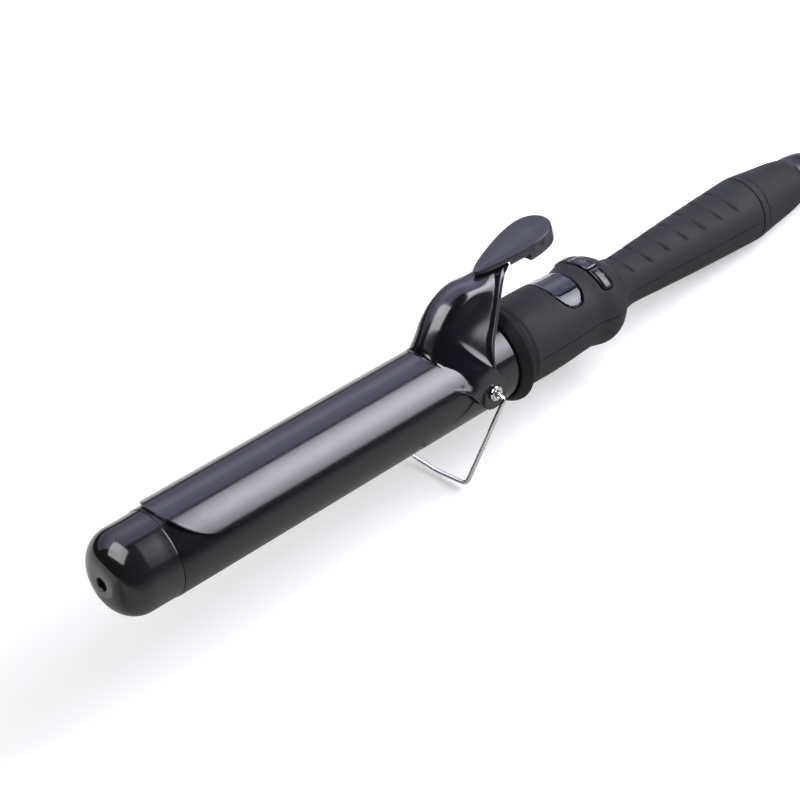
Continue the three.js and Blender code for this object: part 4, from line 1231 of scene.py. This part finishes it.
FLOOR_GLOW = 0.3
floor_mesh = bpy.data.meshes.new("floor")
floor_mesh.from_pydata([(-4, -4, 0), (4, -4, 0), (4, 4, 0), (-4, 4, 0)], [], [(0, 1, 2, 3)])
floor = placed("floor", floor_mesh)
floor_mat, floor_tree, floor_bsdf = fresh("pale_floor")
floor_drift = noise(floor_tree, coords(floor_tree), 0.004, 2)
floor_colour = blend_colour(floor_tree, floor_drift, (0.9, 0.9, 0.9), (0.94, 0.94, 0.94))
floor_tree.links.new(floor_colour, floor_bsdf.inputs["Base Color"])
floor_bsdf.inputs["Roughness"].default_value = 0.85
floor_bsdf.inputs["Specular IOR Level"].default_value = 0
floor_bsdf.inputs["Emission Color"].default_value = (1, 1, 1, 1)
floor_bsdf.inputs["Emission Strength"].default_value = FLOOR_GLOW
floor.data.materials.append(floor_mat)

SOFTBOX_AWAY = 1.5
SOFTBOX_SIZE = 1.2
SOFTBOX_RADIANCE = 6.5


def front_softbox():
    """A square area light in front of the tool and above it, facing its middle."""
    light = bpy.data.lights.new("front_softbox", "AREA")
    light.shape = "SQUARE"
    light.size = SOFTBOX_SIZE
    light.energy = SOFTBOX_RADIANCE * math.pi * SOFTBOX_SIZE ** 2
    obj = placed("front_softbox", light)
    back = turn_only(-0.6, 0.1, 0.75)
    along = (ALONG - back * ALONG.dot(back)).normalized()
    turned = Matrix((along, back.cross(along), back)).transposed().to_4x4()
    obj.matrix_world = Matrix.Translation(at(183, 0, 8) + back * SOFTBOX_AWAY) @ turned
    obj.visible_diffuse = False


def glow_card(name, verts, colours):
    """A studio card that glows with a colour for each of its two-point rows, and that the camera misses."""
    mesh = bpy.data.meshes.new(name)
    faces = [(i, i + 1, i + 3, i + 2) for i in range(0, len(verts) - 2, 2)]
    mesh.from_pydata(verts, [], faces)
    attribute = mesh.color_attributes.new("glow", "FLOAT_COLOR", "POINT")
    attribute.data.foreach_set("color", colours)
    mat = bpy.data.materials.new(name)
    mat.use_nodes = True
    tree = mat.node_tree
    tree.nodes.clear()
    source = tree.nodes.new("ShaderNodeVertexColor")
    source.layer_name = "glow"
    emission = tree.nodes.new("ShaderNodeEmission")
    out = tree.nodes.new("ShaderNodeOutputMaterial")
    tree.links.new(source.outputs["Color"], emission.inputs["Color"])
    tree.links.new(emission.outputs["Emission"], out.inputs["Surface"])
    mesh.materials.append(mat)
    obj = placed(name, mesh)
    obj.visible_camera = False
    return obj


def glowing_arc(name, low_x, high_x, glow):
    """A card curved about the tool's axis. glow lists (angle, red, green, blue), the angle being 0 at the
    horizon on the tool's left, 90 overhead and 180 at the horizon on its right."""
    radius = 1.6
    verts, colours = [], []
    for angle, *colour in glow:
        turn = math.radians(angle)
        for x in (low_x, high_x):
            middle = PIVOT + ALONG * x
            verts.append(tuple(middle + (UP * math.sin(turn) - ACROSS * math.cos(turn)) * radius))
            colours += [*colour, 1]
    return glow_card(name, verts, colours)


def grey(angle, value, blue=1.09):
    """One stop of an arc's glow, tinted towards blue."""
    return (angle, value, value, value * blue)


glowing_arc("key_card", 0.595, 1.75, [
    grey(12, 0), grey(15, 3.6), grey(19.5, 4.1), grey(31.5, 5.9), grey(43.5, 8.6), grey(55.5, 9.3),
    grey(67.5, 7.8), grey(79.5, 5.4), grey(84, 4.4), grey(86, 0),
])
violet_card = glowing_arc("violet_card", -1.3, 1.75, [
    grey(90, 0), grey(92, 1.1, 1.35), grey(103.5, 1.2, 1.4), grey(115.5, 1.3, 1.45), grey(127.5, 1.7, 1.35),
    grey(139.5, 1.15, 1.35), grey(151.5, 0.6, 1.3), grey(165, 0.6, 1.2), grey(170, 0),
])
violet_card.visible_diffuse = False
front_softbox()

# What the tool's glossy underside mirrors: a shaded sheet just above the floor, as (y, glow).
UNDERGLOW = [
    (-3, 0), (-0.62, 0.02), (-0.3, 0.2), (-0.175, 0.42), (-0.1, 0.72), (-0.067, 0.74), (-0.048, 0.7),
    (-0.035, 0.63), (-0.025, 0.55), (-0.016, 0.48), (-0.007, 0.39), (0.001, 0.31), (0.011, 0.32),
    (0.023, 0.45), (0.06, 0.6),
]
UNDER_CARD_Z = 0.001
sheet_verts = [(x, y, UNDER_CARD_Z) for y, _ in UNDERGLOW for x in (-3, 2)]
sheet_glow = [part for _, glow in UNDERGLOW for part in (glow, glow, glow, 1) * 2]
under_card = glow_card("under_card", sheet_verts, sheet_glow)
under_card.visible_diffuse = False
under_card.visible_shadow = False
under_card.visible_transmission = False

world = bpy.data.worlds.new("studio")
world.use_nodes = True
world.node_tree.nodes["Background"].inputs["Color"].default_value = (0.98, 0.98, 0.98, 1)
world.node_tree.nodes["Background"].inputs["Strength"].default_value = 0.52
world.cycles_visibility.glossy = False
bpy.context.scene.world = world

camera_data = bpy.data.cameras.new("camera")
camera_data.lens = 99
camera_data.sensor_width = 36
camera_data.clip_start = 0.01
camera = placed("camera", camera_data)
back = Vector((-0.545, -0.638, 0.545)).normalized()
right = Vector((0.724, -0.685, -0.078))
right = (right - back * right.dot(back)).normalized()
top = back.cross(right)
frame_turn = TOOL.to_3x3() * 1000
camera.matrix_world = Matrix.Translation(at(-289, -493, 425)) @ Matrix(
    (frame_turn @ right, frame_turn @ top, frame_turn @ back)
).transposed().to_4x4()
bpy.context.scene.camera = camera
bpy.context.scene.view_settings.view_transform = "Standard"
